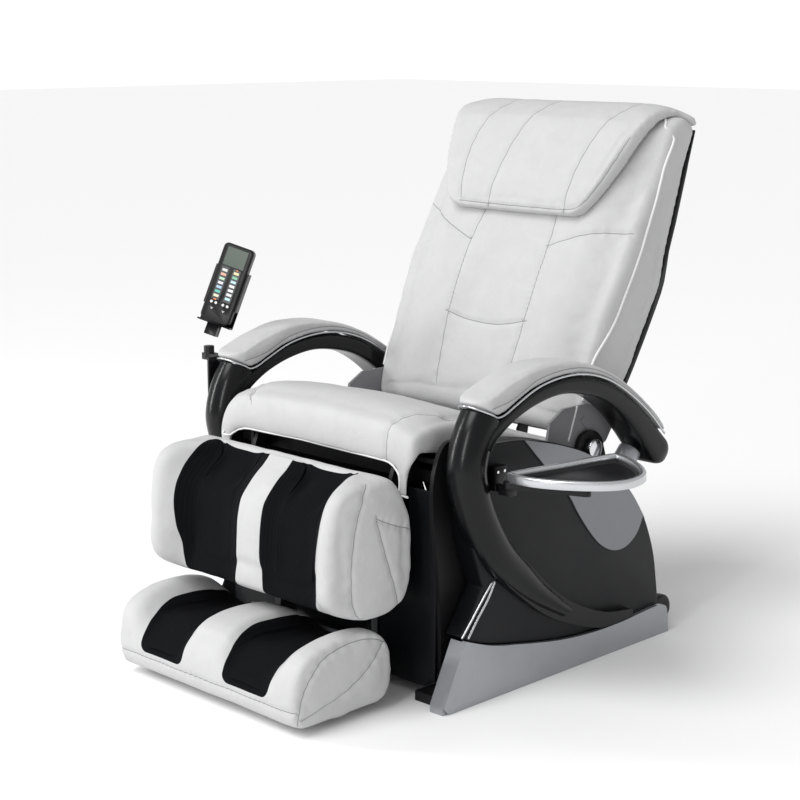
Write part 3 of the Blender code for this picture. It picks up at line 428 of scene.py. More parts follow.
def sew(obj, lines, depth=0.0028, width=0.006, pucker=0.0006):
    """Sinks seams into the piece and stores how far each vertex is from one, and on which side."""
    spots = vertices(obj)
    outward = normals(obj)
    samples = []
    for line in lines:
        smoothLine = curve(line, 14)
        placed = onSurface(obj, smoothLine)
        for i, (point, normal) in enumerate(placed):
            ahead = placed[min(i + 1, len(placed) - 1)][0] - placed[max(i - 1, 0)][0]
            if ahead.length < 1e-7:
                continue
            samples.append((point, ahead.normalized(), ahead.cross(normal).normalized()))
    tree = KDTree(len(samples))
    for i, sample in enumerate(samples):
        tree.insert(sample[0], i)
    tree.balance()
    side = np.full(len(spots), 1.0, dtype=np.float32)
    near = np.full(len(spots), 1.0, dtype=np.float32)
    reach = 4 * width
    for i, spot in enumerate(spots):
        point, index, distance = tree.find(spot)
        if distance > reach:
            continue
        offset = Vector(spot) - point
        signed = offset.dot(samples[index][2])
        rest = (offset - samples[index][2] * signed).length
        side[i] = signed
        near[i] = max(abs(signed), rest - 0.002)
        sink = math.exp(-(distance / width) ** 2)
        wave = math.sin(offset.dot(samples[index][1]) * 260 + index * 0.9)
        ripple = pucker * wave * math.exp(-(distance / 0.012) ** 2)
        spots[i] += outward[i] * (ripple - depth * sink)
    putVertices(obj, spots)
    for label, values in (("seamSide", side), ("seamNear", near)):
        layer = obj.data.attributes.new(label, "FLOAT", "POINT")
        layer.data.foreach_set("value", values)


def wrinkle(obj, amount=0.0012, scale=11.0, where=None, stretch=(1, 1, 1)):
    """Low uneven waves in the cover, stronger where the where function says."""
    spots = vertices(obj)
    outward = normals(obj)
    seed = Vector((3.1, 7.7, 1.9))
    for i, spot in enumerate(spots):
        v = Vector((spot[0] * stretch[0], spot[1] * stretch[1], spot[2] * stretch[2])) * scale
        lift = noise.noise(v + seed) + 0.5 * noise.noise(v * 2.3 + seed)
        much = amount * (where(spot) if where else 1.0)
        spots[i] += outward[i] * lift * much
    putVertices(obj, spots)


def inlays(obj, measure):
    """Stores how far inside the dark fabric each vertex is; measure takes all points at once."""
    layer = obj.data.attributes.new("inlay", "FLOAT", "POINT")
    layer.data.foreach_set("value", measure(vertices(obj)).astype(np.float32))


def step(low, high, value):
    t = np.clip((value - low) / (high - low), 0, 1)
    return t * t * (3 - 2 * t)


def upright(spots):
    """Row points as (x, y, z) about the recline axis with the back stood upright."""
    away = spots - np.array(backPivot)
    s, c = math.sin(backLean), math.cos(backLean)
    return np.stack([away[:, 0], away[:, 1] * c - away[:, 2] * s, away[:, 1] * s + away[:, 2] * c], 1)


def leaned(local):
    s, c = math.sin(backLean), math.cos(backLean)
    y, z = local[:, 1], local[:, 2]
    return np.array(backPivot) + np.stack([local[:, 0], y * c + z * s, z * c - y * s], 1)


# back cushion
def shapeBack(spots):
    local = upright(spots)
    x, y, z = local.T
    edge = step(0.16, 0.283, np.abs(x)) ** 1.4
    front = step(0.02, -0.09, y)
    local[:, 1] += 0.030 * edge * front * step(0.75, 0.55, z)
    local[:, 0] *= 1 + 0.03 * step(0.16, 0.36, z) * step(0.01, -0.06, y)
    local[:, 2] -= 0.016 * step(0.12, 0.03, z)
    return leaned(local)


backSeams = {
    "left": [(-0.082, -0.106, 0.50), (-0.091, -0.106, 0.436), (-0.100, -0.106, 0.368), (-0.098, -0.106, 0.214),
             (-0.093, -0.10, 0.128), (-0.090, -0.08, 0.06)],
    "right": [(0.096, -0.106, 0.50), (0.104, -0.106, 0.44), (0.110, -0.106, 0.376), (0.110, -0.106, 0.211),
              (0.105, -0.10, 0.128), (0.102, -0.08, 0.06)],
    "shoulderRight": [(-0.280, -0.085, 0.452), (-0.225, -0.10, 0.424), (-0.172, -0.104, 0.397),
                      (-0.101, -0.106, 0.368)],
    "shoulderLeft": [(0.112, -0.106, 0.373), (0.185, -0.104, 0.402), (0.235, -0.098, 0.418), (0.280, -0.085, 0.428)],
    "waist": [(-0.098, -0.106, 0.206), (-0.040, -0.106, 0.195), (0.040, -0.106, 0.193), (0.112, -0.106, 0.208)],
}
back = cushion("back_cushion", "back", shapeBack, start=0.008, cap=0.013)
wrinkle(back, 0.0016, 9.0)
sew(back, [[backPoint(*p) for p in line] for line in backSeams.values()])
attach(back, "back")


def pipe(obj, name, line, radius, body):
    """White piping laid along a line on a cushion."""
    placed = onSurface(obj, curve(line, 10))
    path = [point + normal * radius * 0.35 for point, normal in placed]
    path = [path[0]] + [(path[i - 1] + path[i] * 2 + path[i + 1]) / 4 for i in range(1, len(path) - 1)] + [path[-1]]
    bm = bmesh.new()
    tube(bm, path, radius, 10)
    rope = newPiece(name, bm, piping, body, 0)
    return rope


backPiping = [(0.250, -0.066, 0.690), (0.268, -0.062, 0.660), (0.276, -0.060, 0.607), (0.283, -0.052, 0.506),
              (0.288, -0.045, 0.402), (0.288, -0.045, 0.301), (0.285, -0.045, 0.245), (0.280, -0.060, 0.160),
              (0.278, -0.050, 0.08)]
for label, sign in sides:
    pipe(back, "back_piping_" + label, [backPoint(sign * x, y, z) for x, y, z in backPiping], 0.0026, "back")


# leather side panels that hang from the back over its hinges
panelValues = {
    "outline": [(-0.050, 0.478), (-0.058, 0.440), (-0.030, 0.430), (0.000, 0.420), (0.034, 0.409), (0.045, 0.414),
                (0.053, 0.424), (0.066, 0.425), (0.076, 0.415), (0.082, 0.402), (0.092, 0.399), (0.125, 0.416),
                (0.148, 0.448), (0.128, 0.480), (0.060, 0.500), (-0.010, 0.500)],
    "inner": 0.2775, "outer": 0.2835,
    "seam": [(0.030, 0.500), (0.018, 0.468), (0.004, 0.432)],
    "patch": [(0.040, 0.470), (0.052, 0.476), (0.104, 0.424), (0.094, 0.416)],
}
for label, sign in sides:
    bm = bmesh.new()
    extrude(bm, panelValues["outline"], sign * panelValues["inner"], sign * panelValues["outer"])
    bevelSharp(bm, 0.0016, 2)
    panel = newPiece("back_side_panel_" + label, bm, leather, "back", 40)
    bm = bmesh.new()
    extrude(bm, panelValues["patch"], sign * (panelValues["outer"] - 0.0008), sign * (panelValues["outer"] + 0.0016))
    bevelSharp(bm, 0.0006, 1)
    patch = newPiece("back_side_patch_" + label, bm, leather, "back", 40)
    bm = bmesh.new()
    tube(bm, curve([(sign * (panelValues["outer"] + 0.0006), y, z) for y, z in panelValues["seam"]], 6), 0.0020, 10)
    newPiece("back_side_piping_" + label, bm, piping, "back", 0)
print("back done")


# head pillow
def shapePillow(spots):
    local = upright(spots)
    x, y, z = local.T
    corner = step(0.60, 0.74, z) * step(0.20, 0.30, np.abs(x))
    local[:, 2] -= 0.012 * corner
    local[:, 0] *= 1 + 0.07 * step(0.68, 0.72, z) * step(-0.05, 0.0, y) * step(0.1, 0.2, x)
    right, down = x - 0.160, 0.500 - z
    away = np.hypot(right, down)
    inside = np.where((right > 0) & (down > 0) & (away > 0.066), 0.066 / np.maximum(away, 1e-6), 1.0)
    local[:, 0] = np.where(inside < 1, 0.160 + right * inside, local[:, 0])
    local[:, 2] = np.where(inside < 1, 0.500 - down * inside, local[:, 2])
    return leaned(local)


pillowSeams = {
    "inner left": [(-0.066, -0.142, 0.436), (-0.060, -0.145, 0.517), (-0.045, -0.140, 0.610), (-0.025, -0.115, 0.681),
                   (-0.010, -0.06, 0.722)],
    "inner right": [(0.139, -0.142, 0.433), (0.143, -0.145, 0.518), (0.154, -0.142, 0.585), (0.170, -0.130, 0.642),
                    (0.190, -0.105, 0.690), (0.205, -0.05, 0.722)],
    "hem left": [(-0.145, -0.140, 0.452), (-0.159, -0.145, 0.535), (-0.158, -0.145, 0.606), (-0.142, -0.12, 0.675),
                 (-0.125, -0.06, 0.722)],
    "hem bottom": [(-0.140, -0.141, 0.442), (-0.064, -0.142, 0.438), (0.060, -0.142, 0.438), (0.141, -0.142, 0.440),
                   (0.186, -0.142, 0.455), (0.212, -0.142, 0.490), (0.232, -0.142, 0.540), (0.246, -0.142, 0.600)],
}
pillow = cushion("head_pillow", "back", shapePillow, voxel=0.005, start=0.004, cap=0.007)
wrinkle(pillow, 0.0011, 12.0)
sew(pillow, [[backPoint(*p) for p in line] for line in pillowSeams.values()], depth=0.0026)
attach(pillow, "back")
print("pillow done")


# seat cushion
def shapeSeat(spots):
    x, y, z = spots.T
    top = step(0.44, 0.50, z)
    crown = 0.012 * top * (1 - (x / 0.262) ** 2)
    edge = 0.010 * top * step(0.20, 0.262, np.abs(x))
    hem = step(-0.388, -0.404, y) * step(0.50, 0.468, z) * step(0.375, 0.455, z)
    spots = spots.copy()
    spots[:, 2] += crown - edge - 0.043 * hem
    flare = step(-0.19, -0.262, x) * step(0.50, 0.43, spots[:, 2]) * step(-0.385, -0.404, y)
    spots[:, 0] -= 0.028 * flare
    spots[:, 1] -= 0.006 * flare
    return spots


seatSeams = {
    "far crease": [(-0.225, -0.30, 0.52), (-0.205, -0.37, 0.52), (-0.190, -0.405, 0.505)],
    "far tuck": [(-0.235, -0.34, 0.52), (-0.212, -0.380, 0.52), (-0.196, -0.405, 0.510)],
    "near panel": [(0.235, -0.28, 0.51), (0.205, -0.345, 0.52), (0.196, -0.395, 0.515), (0.195, -0.412, 0.485),
                   (0.195, -0.412, 0.44)],
}
seat = cushion("seat_cushion", "base", shapeSeat, start=0.006, cap=0.012)
wrinkle(seat, 0.0018, 10.0)
sew(seat, list(seatSeams.values()), depth=0.003)
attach(seat, "base")
pipe(seat, "seat_hem_piping", [(-0.258, -0.411, 0.436), (-0.250, -0.412, 0.428), (-0.10, -0.413, 0.426),
                               (0.10, -0.413, 0.426), (0.205, -0.412, 0.426), (0.218, -0.411, 0.418),
                               (0.222, -0.411, 0.386), (0.230, -0.411, 0.378), (0.254, -0.411, 0.378)],
     0.0020, "base")
print("seat done")


# calf and foot rests
def roundedBand(x, inner, outer, end, radius=0.018):
    """Distance inside a band |x| between inner and outer that stops with rounded corners where end is 0."""
    across = np.minimum(np.abs(x) - inner, outer - np.abs(x))
    a = np.maximum(radius - across, 0)
    b = np.maximum(radius - end, 0)
    return radius - np.hypot(a, b)


def channelDepth(x, ridge, inner, outer, edge, middle):
    """How much of the cushion's height is left across it: middle on the ridge, 0 in a channel, 1 beyond edge."""
    across = np.abs(x)
    return middle * step(inner, ridge, across) + step(outer, edge, across)


# channel floors in side view: y against z on the calf rest, z against y on the foot rest
calfFloor = ((0.16, 0.19, 0.25, 0.33, 0.37, 0.40, 0.44, 0.48),
             (-0.60, -0.580, -0.566, -0.560, -0.549, -0.515, -0.475, -0.46))
calfRearRise = ((-0.50, -0.47, -0.45, -0.435, -0.42), (0, 0.010, 0.013, 0.009, 0))
footFloor = ((-0.70, -0.69, -0.67, -0.645, -0.60, -0.52, -0.46), (0.062, 0.082, 0.106, 0.119, 0.123, 0.116, 0.118))


def calfInlay(spots):
    x, y, z = spots.T
    outer = 0.206 - 0.020 * step(0.36, 0.18, z)
    inner = 0.031 + 0.008 * step(0.28, 0.20, z)
    return roundedBand(x, inner, outer, -0.479 - y)


def calfShape(spots):
    spots = spots.copy()
    x, y, z = spots.T
    floor = np.interp(z, *calfFloor)
    kept = channelDepth(x, 0.028, 0.062, 0.172, 0.236, 0.24)
    spots[:, 1] = np.where(y < floor, floor + (y - floor) * kept, y)
    spots[:, 0] *= 1 - 0.02 * step(-0.50, -0.62, y)
    y, z = spots[:, 1].copy(), spots[:, 2].copy()
    spots[:, 2] += np.interp(y, *calfRearRise) * step(0.33, 0.40, z)
    return spots


calf = cushion("calf_rest", "leg", calfShape, start=0.006, cap=0.011, settle=9)
wrinkle(calf, 0.0013, 12.0)
calfSeams = []
for label, sign in sides:
    face = sign * 0.266
    calfSeams += [
        [(face * 0.985, -0.520, 0.438), (face, -0.550, 0.378), (face, -0.563, 0.307), (face, -0.563, 0.243),
         (face, -0.548, 0.193)],
        [(face, -0.506, 0.372), (face, -0.481, 0.360), (face, -0.445, 0.345), (face, -0.410, 0.335)],
        [(face, -0.506, 0.372), (face, -0.487, 0.310), (face, -0.462, 0.244), (face, -0.440, 0.195)]]
sew(calf, calfSeams, depth=0.0024)
inlays(calf, calfInlay)
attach(calf, "leg")


def footInlay(spots):
    x, y, z = spots.T
    front = step(-0.60, -0.69, y)
    end = np.minimum(np.where(y < -0.60, z - 0.062, 0.05), -0.455 - y)
    return roundedBand(x, 0.047 + 0.010 * front, 0.196 - 0.012 * front, end)


def footShape(spots):
    spots = spots.copy()
    x, y, z = spots.T
    floor = np.interp(y, *footFloor)
    kept = channelDepth(x, 0.040, 0.072, 0.168, 0.222, 0.72)
    spots[:, 2] = np.where(z > floor, floor + (z - floor) * kept, z)
    return spots


foot = cushion("foot_rest", "foot", footShape, start=0.005, cap=0.009)
wrinkle(foot, 0.0010, 12.0)
footSeams = [[(-0.252, -0.692, 0.052), (-0.10, -0.694, 0.052), (0.10, -0.694, 0.052), (0.252, -0.692, 0.052)]]
for label, sign in sides:
    face = sign * 0.258
    footSeams += [
        [(face, -0.688, 0.030), (face, -0.676, 0.079), (face, -0.658, 0.112), (face, -0.628, 0.138),
         (face, -0.579, 0.150), (face, -0.524, 0.150), (face, -0.473, 0.135)],
        [(face, -0.680, 0.034), (face, -0.601, 0.056), (face, -0.539, 0.082), (face, -0.501, 0.110),
         (face, -0.475, 0.133)]]
sew(foot, footSeams, depth=0.0022)
inlays(foot, footInlay)
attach(foot, "foot")
print("leg rests done")

# armrest pads
for label, sign in sides:
    pad = cushion("armrest_pad_" + label, "base", None, voxel=0.0035, start=0.0015, cap=0.003)
    wrinkle(pad, 0.0004, 16.0)
    stitch = []
    for x in (0.304, 0.376):
        stitch.append([(sign * x, -0.315, 0.561), (sign * x, -0.262, 0.573), (sign * x, -0.200, 0.596),
                       (sign * x, -0.130, 0.605), (sign * x, -0.060, 0.600), (sign * x, 0.012, 0.577),
                       (sign * x, 0.080, 0.538), (sign * x, 0.142, 0.492)])
    sew(pad, stitch, depth=0.0008, width=0.003, pucker=0.0001)
    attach(pad, "base")
print("armrest pads done")


# ---- side shells, armrests and skirts ----
shellValues = {
    "front": [(-0.362, 0.134), (-0.335, 0.165), (-0.305, 0.215), (-0.335, 0.30), (-0.350, 0.42), (-0.325, 0.478)],
    "top": [(-0.273, 0.484), (-0.218, 0.481), (-0.154, 0.470), (-0.088, 0.452), (-0.007, 0.421), (0.070, 0.375),
            (0.130, 0.320), (0.177, 0.258), (0.210, 0.181), (0.225, 0.106), (0.231, 0.066)],
    "foot": [(-0.363, 0.129), (-0.292, 0.104), (-0.213, 0.087), (-0.101, 0.067), (-0.006, 0.058), (0.092, 0.057),
             (0.228, 0.063)],
    "out": 0.345, "in": 0.300, "edge": 0.004,
}
postLine = [(-0.090, 0.128, 0.016), (-0.165, 0.178, 0.026), (-0.222, 0.226, 0.034), (-0.276, 0.279, 0.0375),
            (-0.323, 0.3555, 0.0375), (-0.347, 0.424, 0.0375), (-0.3475, 0.462, 0.0375), (-0.333, 0.5055, 0.0375),
            (-0.3115, 0.5418, 0.0375)]
bowLine = [(-0.330, 0.487, 0.012), (-0.310, 0.512, 0.014), (-0.262, 0.540, 0.0135), (-0.200, 0.5625, 0.0155),
           (-0.130, 0.5725, 0.016), (-0.062, 0.5665, 0.018), (0.005, 0.546, 0.018), (0.070, 0.5085, 0.020),
           (0.126, 0.4615, 0.024), (0.1865, 0.400, 0.029)]
bandLine = [(-0.262, 0.264, 0.030), (-0.227, 0.230, 0.031), (-0.140, 0.158, 0.026), (-0.059, 0.112, 0.020),
            (0.034, 0.0785, 0.0155), (0.120, 0.0725, 0.008)]
trimUnder = [(-0.288, 0.5440), (-0.262, 0.5556), (-0.200, 0.5800), (-0.130, 0.5905), (-0.060, 0.5865),
             (0.012, 0.5650), (0.080, 0.5265), (0.142, 0.4800), (0.190, 0.4330)]


def ribbonOutline(line, steps=8, roundEnd=True):
    """Side-view outline around a line of (y, z, half width) points."""
    path = curve(line, steps)
    left, right = [], []
    for i, point in enumerate(path):
        along = (path[min(i + 1, len(path) - 1)] - path[max(i - 1, 0)]).to_2d().normalized()
        out = Vector((-along.y, along.x)) * point.z
        left.append(point.to_2d() + out)
        right.append(point.to_2d() - out)
    cap = []
    if roundEnd:
        along = (path[-1] - path[-2]).to_2d().normalized()
        start = math.atan2(along.y, along.x)
        cap = [path[-1].to_2d() + Vector((math.cos(start + t), math.sin(start + t))) * path[-1].z
               for t in (math.radians(-80 + 16 * k) for k in range(11))]
    return left[::-1] + right + cap


def sectionSweep(bm, line, xMiddle, xHalf, power=2.0, sides=40, steps=8, roundEnd=False):
    """A bar of superellipse section along a side-view line of (y, z, half thickness) points."""
    path = curve(line, steps)
    rings = []
    count = len(path)
    extra = 8 if roundEnd else 0
    for i in range(count + extra):
        point = path[min(i, count - 1)]
        before, after = path[max(min(i, count - 1) - 1, 0)], path[min(i + 1, count - 1)]
        along = (after - before).to_2d().normalized()
        shrink, push = 1.0, 0.0
        if i >= count:
            t = (i - count + 1) / extra * math.pi / 2 * 0.985
            shrink, push = math.cos(t), math.sin(t)
        ring = []
        for k in range(sides):
            t = math.tau * k / sides
            a = math.copysign(abs(math.cos(t)) ** (2 / power), math.cos(t))
            b = math.copysign(abs(math.sin(t)) ** (2 / power), math.sin(t))
            out = point.z * b * shrink
            ring.append(bm.verts.new((xMiddle + xHalf * a * (1 - 0.25 * (1 - shrink)),
                                      point.x - along.y * out + along.x * push * point.z,
                                      point.y + along.x * out + along.y * push * point.z)))
        rings.append(ring)
    for first, second in zip(rings, rings[1:]):
        for k in range(sides):
            bm.faces.new((first[k - 1], first[k], second[k], second[k - 1]))
    bm.faces.new(rings[0])
    bm.faces.new(rings[-1][::-1])


def armrestLook(label, sign):
    middle = sign * 0.340
    bm = bmesh.new()
    sectionSweep(bm, postLine, middle, 0.038, 2.0, 44)
    # the head of the post is cut along the underside of the trim
    low, high = Vector((0, -0.3475, 0.5595)), Vector((0, -0.309, 0.5385))
    along = (high - low).normalized()
    bmesh.ops.bisect_plane(bm, geom=bm.verts[:] + bm.edges[:] + bm.faces[:], plane_co=low,
                           plane_no=Vector((0, -along.z, along.y)), clear_outer=True)
    bmesh.ops.holes_fill(bm, edges=[e for e in bm.edges if e.is_boundary])
    post = newPiece("armrest_post_" + label, bm, glossBlack, "base", 50)
    bm = bmesh.new()
    sectionSweep(bm, bowLine, middle, 0.038, 5.0, 44, 10, True)
    bow = newPiece("armrest_bow_" + label, bm, glossBlack, "base", 50)
    bm = bmesh.new()
    outline = ribbonOutline(bandLine)
    inner, outer = sorted((sign * 0.3453, sign * 0.3600))
    extrude(bm, outline, inner, outer)
    bevelSharp(bm, 0.006, 4, 50)
    band = newPiece("armrest_band_" + label, bm, glossBlack, "base", 50)
    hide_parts("armrest_hoop_" + label)

    # bright bead that follows the edge of the pad, across the front and back along both sides
    bm = bmesh.new()
    side = [(0.3786, y, z) for y, z in [(-0.3085, 0.5405)] + trimUnder]
    front = [(0.340, -0.3520, 0.5622), (0.3575, -0.3480, 0.5600), (0.3710, -0.3375, 0.5545),
             (0.3775, -0.3230, 0.5475)]
    loop = [Vector((sign * (0.680 - x), y, z)) for x, y, z in reversed(side)]
    loop += [Vector((sign * (0.680 - x), y, z)) for x, y, z in reversed(front[1:])]
    loop += [Vector((sign * x, y, z)) for x, y, z in front]
    loop += [Vector((sign * x, y, z)) for x, y, z in side]
    loop = [point + Vector((0, 0.0004, 0.0018)) for point in loop]
    tube(bm, curve(loop, 6), 0.0019, 10)
    bead = newPiece("armrest_bead_" + label, bm, brightSilver, "base", 0)
    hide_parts("armrest_trim_" + label)


def sideLook(label, sign):
    v = shellValues
    outline = [Vector(p) for p in v["front"]] + curve([(*p, 0) for p in v["top"]], 8)
    outline = [p.to_2d() for p in outline]
    outline += [p.to_2d() + Vector((0, 0.0006)) for p in reversed(curve([(*p, 0) for p in v["foot"]], 6))][1:-1]
    bm = bmesh.new()
    extrude(bm, outline, sign * v["in"], sign * v["out"])
    inner = [f for f in bm.faces if len(f.verts) > 4 and abs(f.calc_center_median().x) < 0.31]
    bmesh.ops.inset_region(bm, faces=inner, thickness=0.005, use_even_offset=True)
    bmesh.ops.translate(bm, verts=list({w for f in inner for w in f.verts}), vec=(sign * 0.0405, 0, 0))
    bevelSharp(bm, v["edge"], 4, 50)
    shell = newPiece("side_shell_look_" + label, bm, shellBlack, "base", 45)
    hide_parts("side_shell_" + label)

    insetInner = curve([(-0.198, 0.4775, 0), (-0.153, 0.433, 0), (-0.071, 0.353, 0), (-0.037, 0.307, 0),
                        (0.002, 0.260, 0), (0.037, 0.228, 0), (0.076, 0.210, 0), (0.115, 0.210, 0),
                        (0.149, 0.230, 0), (0.168, 0.262, 0)], 8)
    insetEdge = curve([(0.174, 0.258, 0), (0.128, 0.319, 0), (0.068, 0.373, 0), (-0.008, 0.419, 0),
                       (-0.088, 0.4495, 0), (-0.154, 0.4675, 0), (-0.190, 0.4765, 0)], 8)
    bm = bmesh.new()
    extrude(bm, [p.to_2d() for p in insetInner + insetEdge], sign * 0.3454, sign * 0.3478)
    bevelSharp(bm, 0.0009, 3, 50)
    inset = newPiece("side_inset_look_" + label, bm, greyPanel, "base", 45)
    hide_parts("side_inset_" + label)

    top = curve([(*p, 0) for p in [(-0.363, 0.129), (-0.292, 0.104), (-0.213, 0.087), (-0.101, 0.067),
                                   (-0.006, 0.058), (0.092, 0.057), (0.228, 0.063), (0.253, 0.040)]], 8)
    profile = [p.to_2d() for p in top]
    profile += [Vector((0.256, 0.0)), Vector((-0.408, 0.0)), Vector((-0.420, 0.014)), Vector((-0.392, 0.072))]
    bm = bmesh.new()
    extrude(bm, profile, sign * 0.3456, sign * 0.3545)
    bevelSharp(bm, 0.004, 4, 50)
    extrude(bm, [(-0.4195, 0.0), (-0.4195, 0.014), (-0.392, 0.071), (-0.364, 0.127), (-0.362, 0.122),
                 (-0.386, 0.071), (-0.411, 0.015), (-0.411, 0.0)], sign * 0.318, sign * 0.3500)
    skirt = newPiece("side_skirt_look_" + label, bm, silverPaint, "base", 45)
    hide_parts("side_skirt_" + label)

    # two slim bright strips up the front corner of the shell: painted highlights standing in for the glints on its
    # glossy black rounded edge
    for k, shift in enumerate((0.0, 0.0165)):
        line = [(sign * 0.3462, -0.3655 + shift, 0.1335 - shift * 0.30), (sign * 0.3462, -0.341 + shift, 0.160),
                (sign * 0.3462, -0.312 + shift, 0.193), (sign * 0.3462, -0.283 + shift * 0.4, 0.224)]
        bm = bmesh.new()
        tube(bm, curve(line, 6), 0.0026 if k else 0.0020, 10)
        strip = newPiece("corner_highlight_%d_%s" % (k + 1, label), bm, brightSilver, "base", 0)


for label, sign in sides:
    sideLook(label, sign)
    armrestLook(label, sign)
print("sides done")


# ---- tray ----
trayOutline = [(0.408, -0.309), (0.457, -0.310), (0.520, -0.281), (0.572, -0.236), (0.591, -0.187),
               (0.575, -0.128), (0.522, -0.078), (0.452, -0.044), (0.432, -0.075), (0.416, -0.180),
               (0.3955, -0.288)]


def grown(outline, distance):
    """A closed outline moved along its own outward direction."""
    n = len(outline)
    moved = []
    for i, point in enumerate(outline):
        along = (outline[(i + 1) % n] - outline[i - 1]).to_2d().normalized()
        moved.append(point.to_2d() + Vector((along.y, -along.x)) * distance)
    return moved


trayEdge = curve([(*p, 0) for p in trayOutline], 10, closed=True)
levels = [(0.000, 0.430), (-0.0012, 0.4285), (-0.011, 0.4285), (-0.0120, 0.4300), (-0.0120, 0.4425),
          (-0.0105, 0.4445), (-0.0030, 0.4450), (-0.0008, 0.4440), (0.0, 0.4420)]
bm = bmesh.new()
rings = [[bm.verts.new((p.x, p.y, z)) for p in grown(trayEdge, d)] for d, z in levels]
for i, ring in enumerate(rings):
    nextRing = rings[(i + 1) % len(rings)]
    for k in range(len(ring)):
        bm.faces.new((ring[k - 1], ring[k], nextRing[k], nextRing[k - 1]))
rim = newPiece("tray_rim_look", bm, brightSilver, "tray", 50)
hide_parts("tray_rim")
levels = [(-0.0124, 0.4370), (-0.0150, 0.4375), (-0.0185, 0.4340), (-0.0215, 0.4322)]
bm = bmesh.new()
rings = [[bm.verts.new((p.x, p.y, z)) for p in grown(trayEdge, d)] for d, z in levels]
rings.append([bm.verts.new((p.x, p.y, 0.4290)) for p in grown(trayEdge, -0.0124)])
for first, second in zip(rings[-1:] + rings[:-1], rings):
    if second is rings[-1]:
        continue
    for k in range(len(first)):
        bm.faces.new((first[k - 1], first[k], second[k], second[k - 1]))
bm.faces.new(rings[3])
bm.faces.new(rings[-1])
dish = newPiece("tray_dish_look", bm, darkPlastic, "tray", 40)
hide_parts("tray_dish")
refine("tray_arm", darkPlastic, "tray", 0.002)
refine("tray_hinge", darkPlastic, "base", 0.0015)
bm = bmesh.new()
for y in (-0.289, -0.271):
    tube(bm, [Vector((0.3615, y, 0.436)), Vector((0.3630, y, 0.436))], 0.0028, 16)
newPiece("hinge_screws", bm, chrome, "base", 30)
print("tray done")


# ---- remote control ----
def remoteMatrix():
    turn = (Matrix.Rotation(math.radians(35), 4, "Z") @ Matrix.Rotation(math.radians(-12), 4, "X")
            @ Matrix.Rotation(math.radians(18), 4, "Y"))
    return Matrix.Translation((-0.420, -0.265, 0.700)) @ turn


def remotePiece(name, material, boxes, body="remote", bevel=0.0):
    """Small blocks on the remote, each (x, z, half width, half height, low, high) in its own upright frame."""
    bm = bmesh.new()
    for x, z, w, h, low, high in boxes:
        extrude(bm, [(x - w, z - h), (x + w, z - h), (x + w, z + h), (x - w, z + h)], low, high, "Y")
    if bevel:
        bevelSharp(bm, bevel, 2, 40)
    bmesh.ops.transform(bm, matrix=remoteMatrix(), verts=bm.verts)
    item = newPiece(name, bm, material, body, 40)
    return item


refine("remote_body", darkPlastic, "remote", 0.0012)
refine("remote_cradle", darkPlastic, "cradle", 0.0012)
refine("remote_bracket", darkPlastic, "base", 0.0015)
padColours = {
    "left": [(0.72, 0.74, 0.70), (0.80, 0.42, 0.32), (0.45, 0.68, 0.50), (0.72, 0.70, 0.80), (0.42, 0.60, 0.80),
             (0.12, 0.52, 0.46), (0.80, 0.74, 0.55)],
    "right": [(0.80, 0.72, 0.42), (0.22, 0.55, 0.35), (0.50, 0.74, 0.78), (0.80, 0.80, 0.80), (0.78, 0.79, 0.80),
              (0.78, 0.79, 0.80), (0.50, 0.74, 0.78)],
}
for label, x in (("left", -0.0135), ("right", 0.0125)):
    for row, colour in enumerate(padColours[label]):
        z = 0.0267 - row * 0.00935
        tint = surface("pad_%s_%d" % (label, row), hard, Colour=colour, Roughness=0.4)
        remotePiece("pad_%s_%d_look" % (label, row + 1), tint, [(x, z, 0.0056, 0.0026, -0.01265, -0.0119)],
                    bevel=0.0003)
orange = surface("orangeDot", hard, Colour=(0.85, 0.25, 0.05), Roughness=0.4)
remotePiece("orange_dots", orange, [(0.0125, 0.0335, 0.0016, 0.0012, -0.0124, -0.0119),
                                    (-0.0135, -0.0375, 0.0030, 0.0012, -0.0124, -0.0119)])
remotePiece("pad_frames", surface("padFrame", hard, Colour=(0.03, 0.032, 0.036), Roughness=0.3), [
    (-0.0135, -0.0015, 0.0085, 0.0360, -0.01222, -0.0119), (0.0125, -0.0015, 0.0085, 0.0360, -0.01222, -0.0119)],
    bevel=0.0001)
print("remote done")


# ---- everything else keeps its CAD shape with clean edges ----
others = [
    ("back_shell", shellBlack, "back", "shell_black", 0.003),
    ("front_cover", shellBlack, "base", "shell_black", 0.001),
    ("rear_cover", shellBlack, "base", "shell_black", 0.001), ("base_frame", paintedSteel, "base", "steel", 0.0),
    ("seat_pan", paintedSteel, "base", "steel", 0.001), ("power_inlet", darkPlastic, "base", "black_plastic", 0.0008),
    ("control_box", darkPlastic, "base", "black_plastic", 0.003), ("back_frame", paintedSteel, "back", "steel", 0.0),
    ("leg_frame", paintedSteel, "leg", "steel", 0.0), ("foot_frame", chrome, "foot", "bright_steel", 0.0),
    ("armrest_strut_left", silverPaint, "base", "silver_plastic", 0.002),
    ("armrest_strut_right", silverPaint, "base", "silver_plastic", 0.002),
    ("back_pivot_left", chrome, "base", "bright_steel", 0.002),
    ("back_pivot_right", chrome, "base", "bright_steel", 0.002),
    ("transport_wheel_left", darkPlastic, "wheel_left", "black_plastic", 0.0015),
    ("transport_wheel_right", darkPlastic, "wheel_right", "black_plastic", 0.0015),
]
for name, material, body, slotName, bevel in others:
    refine(name, material, body, bevel)

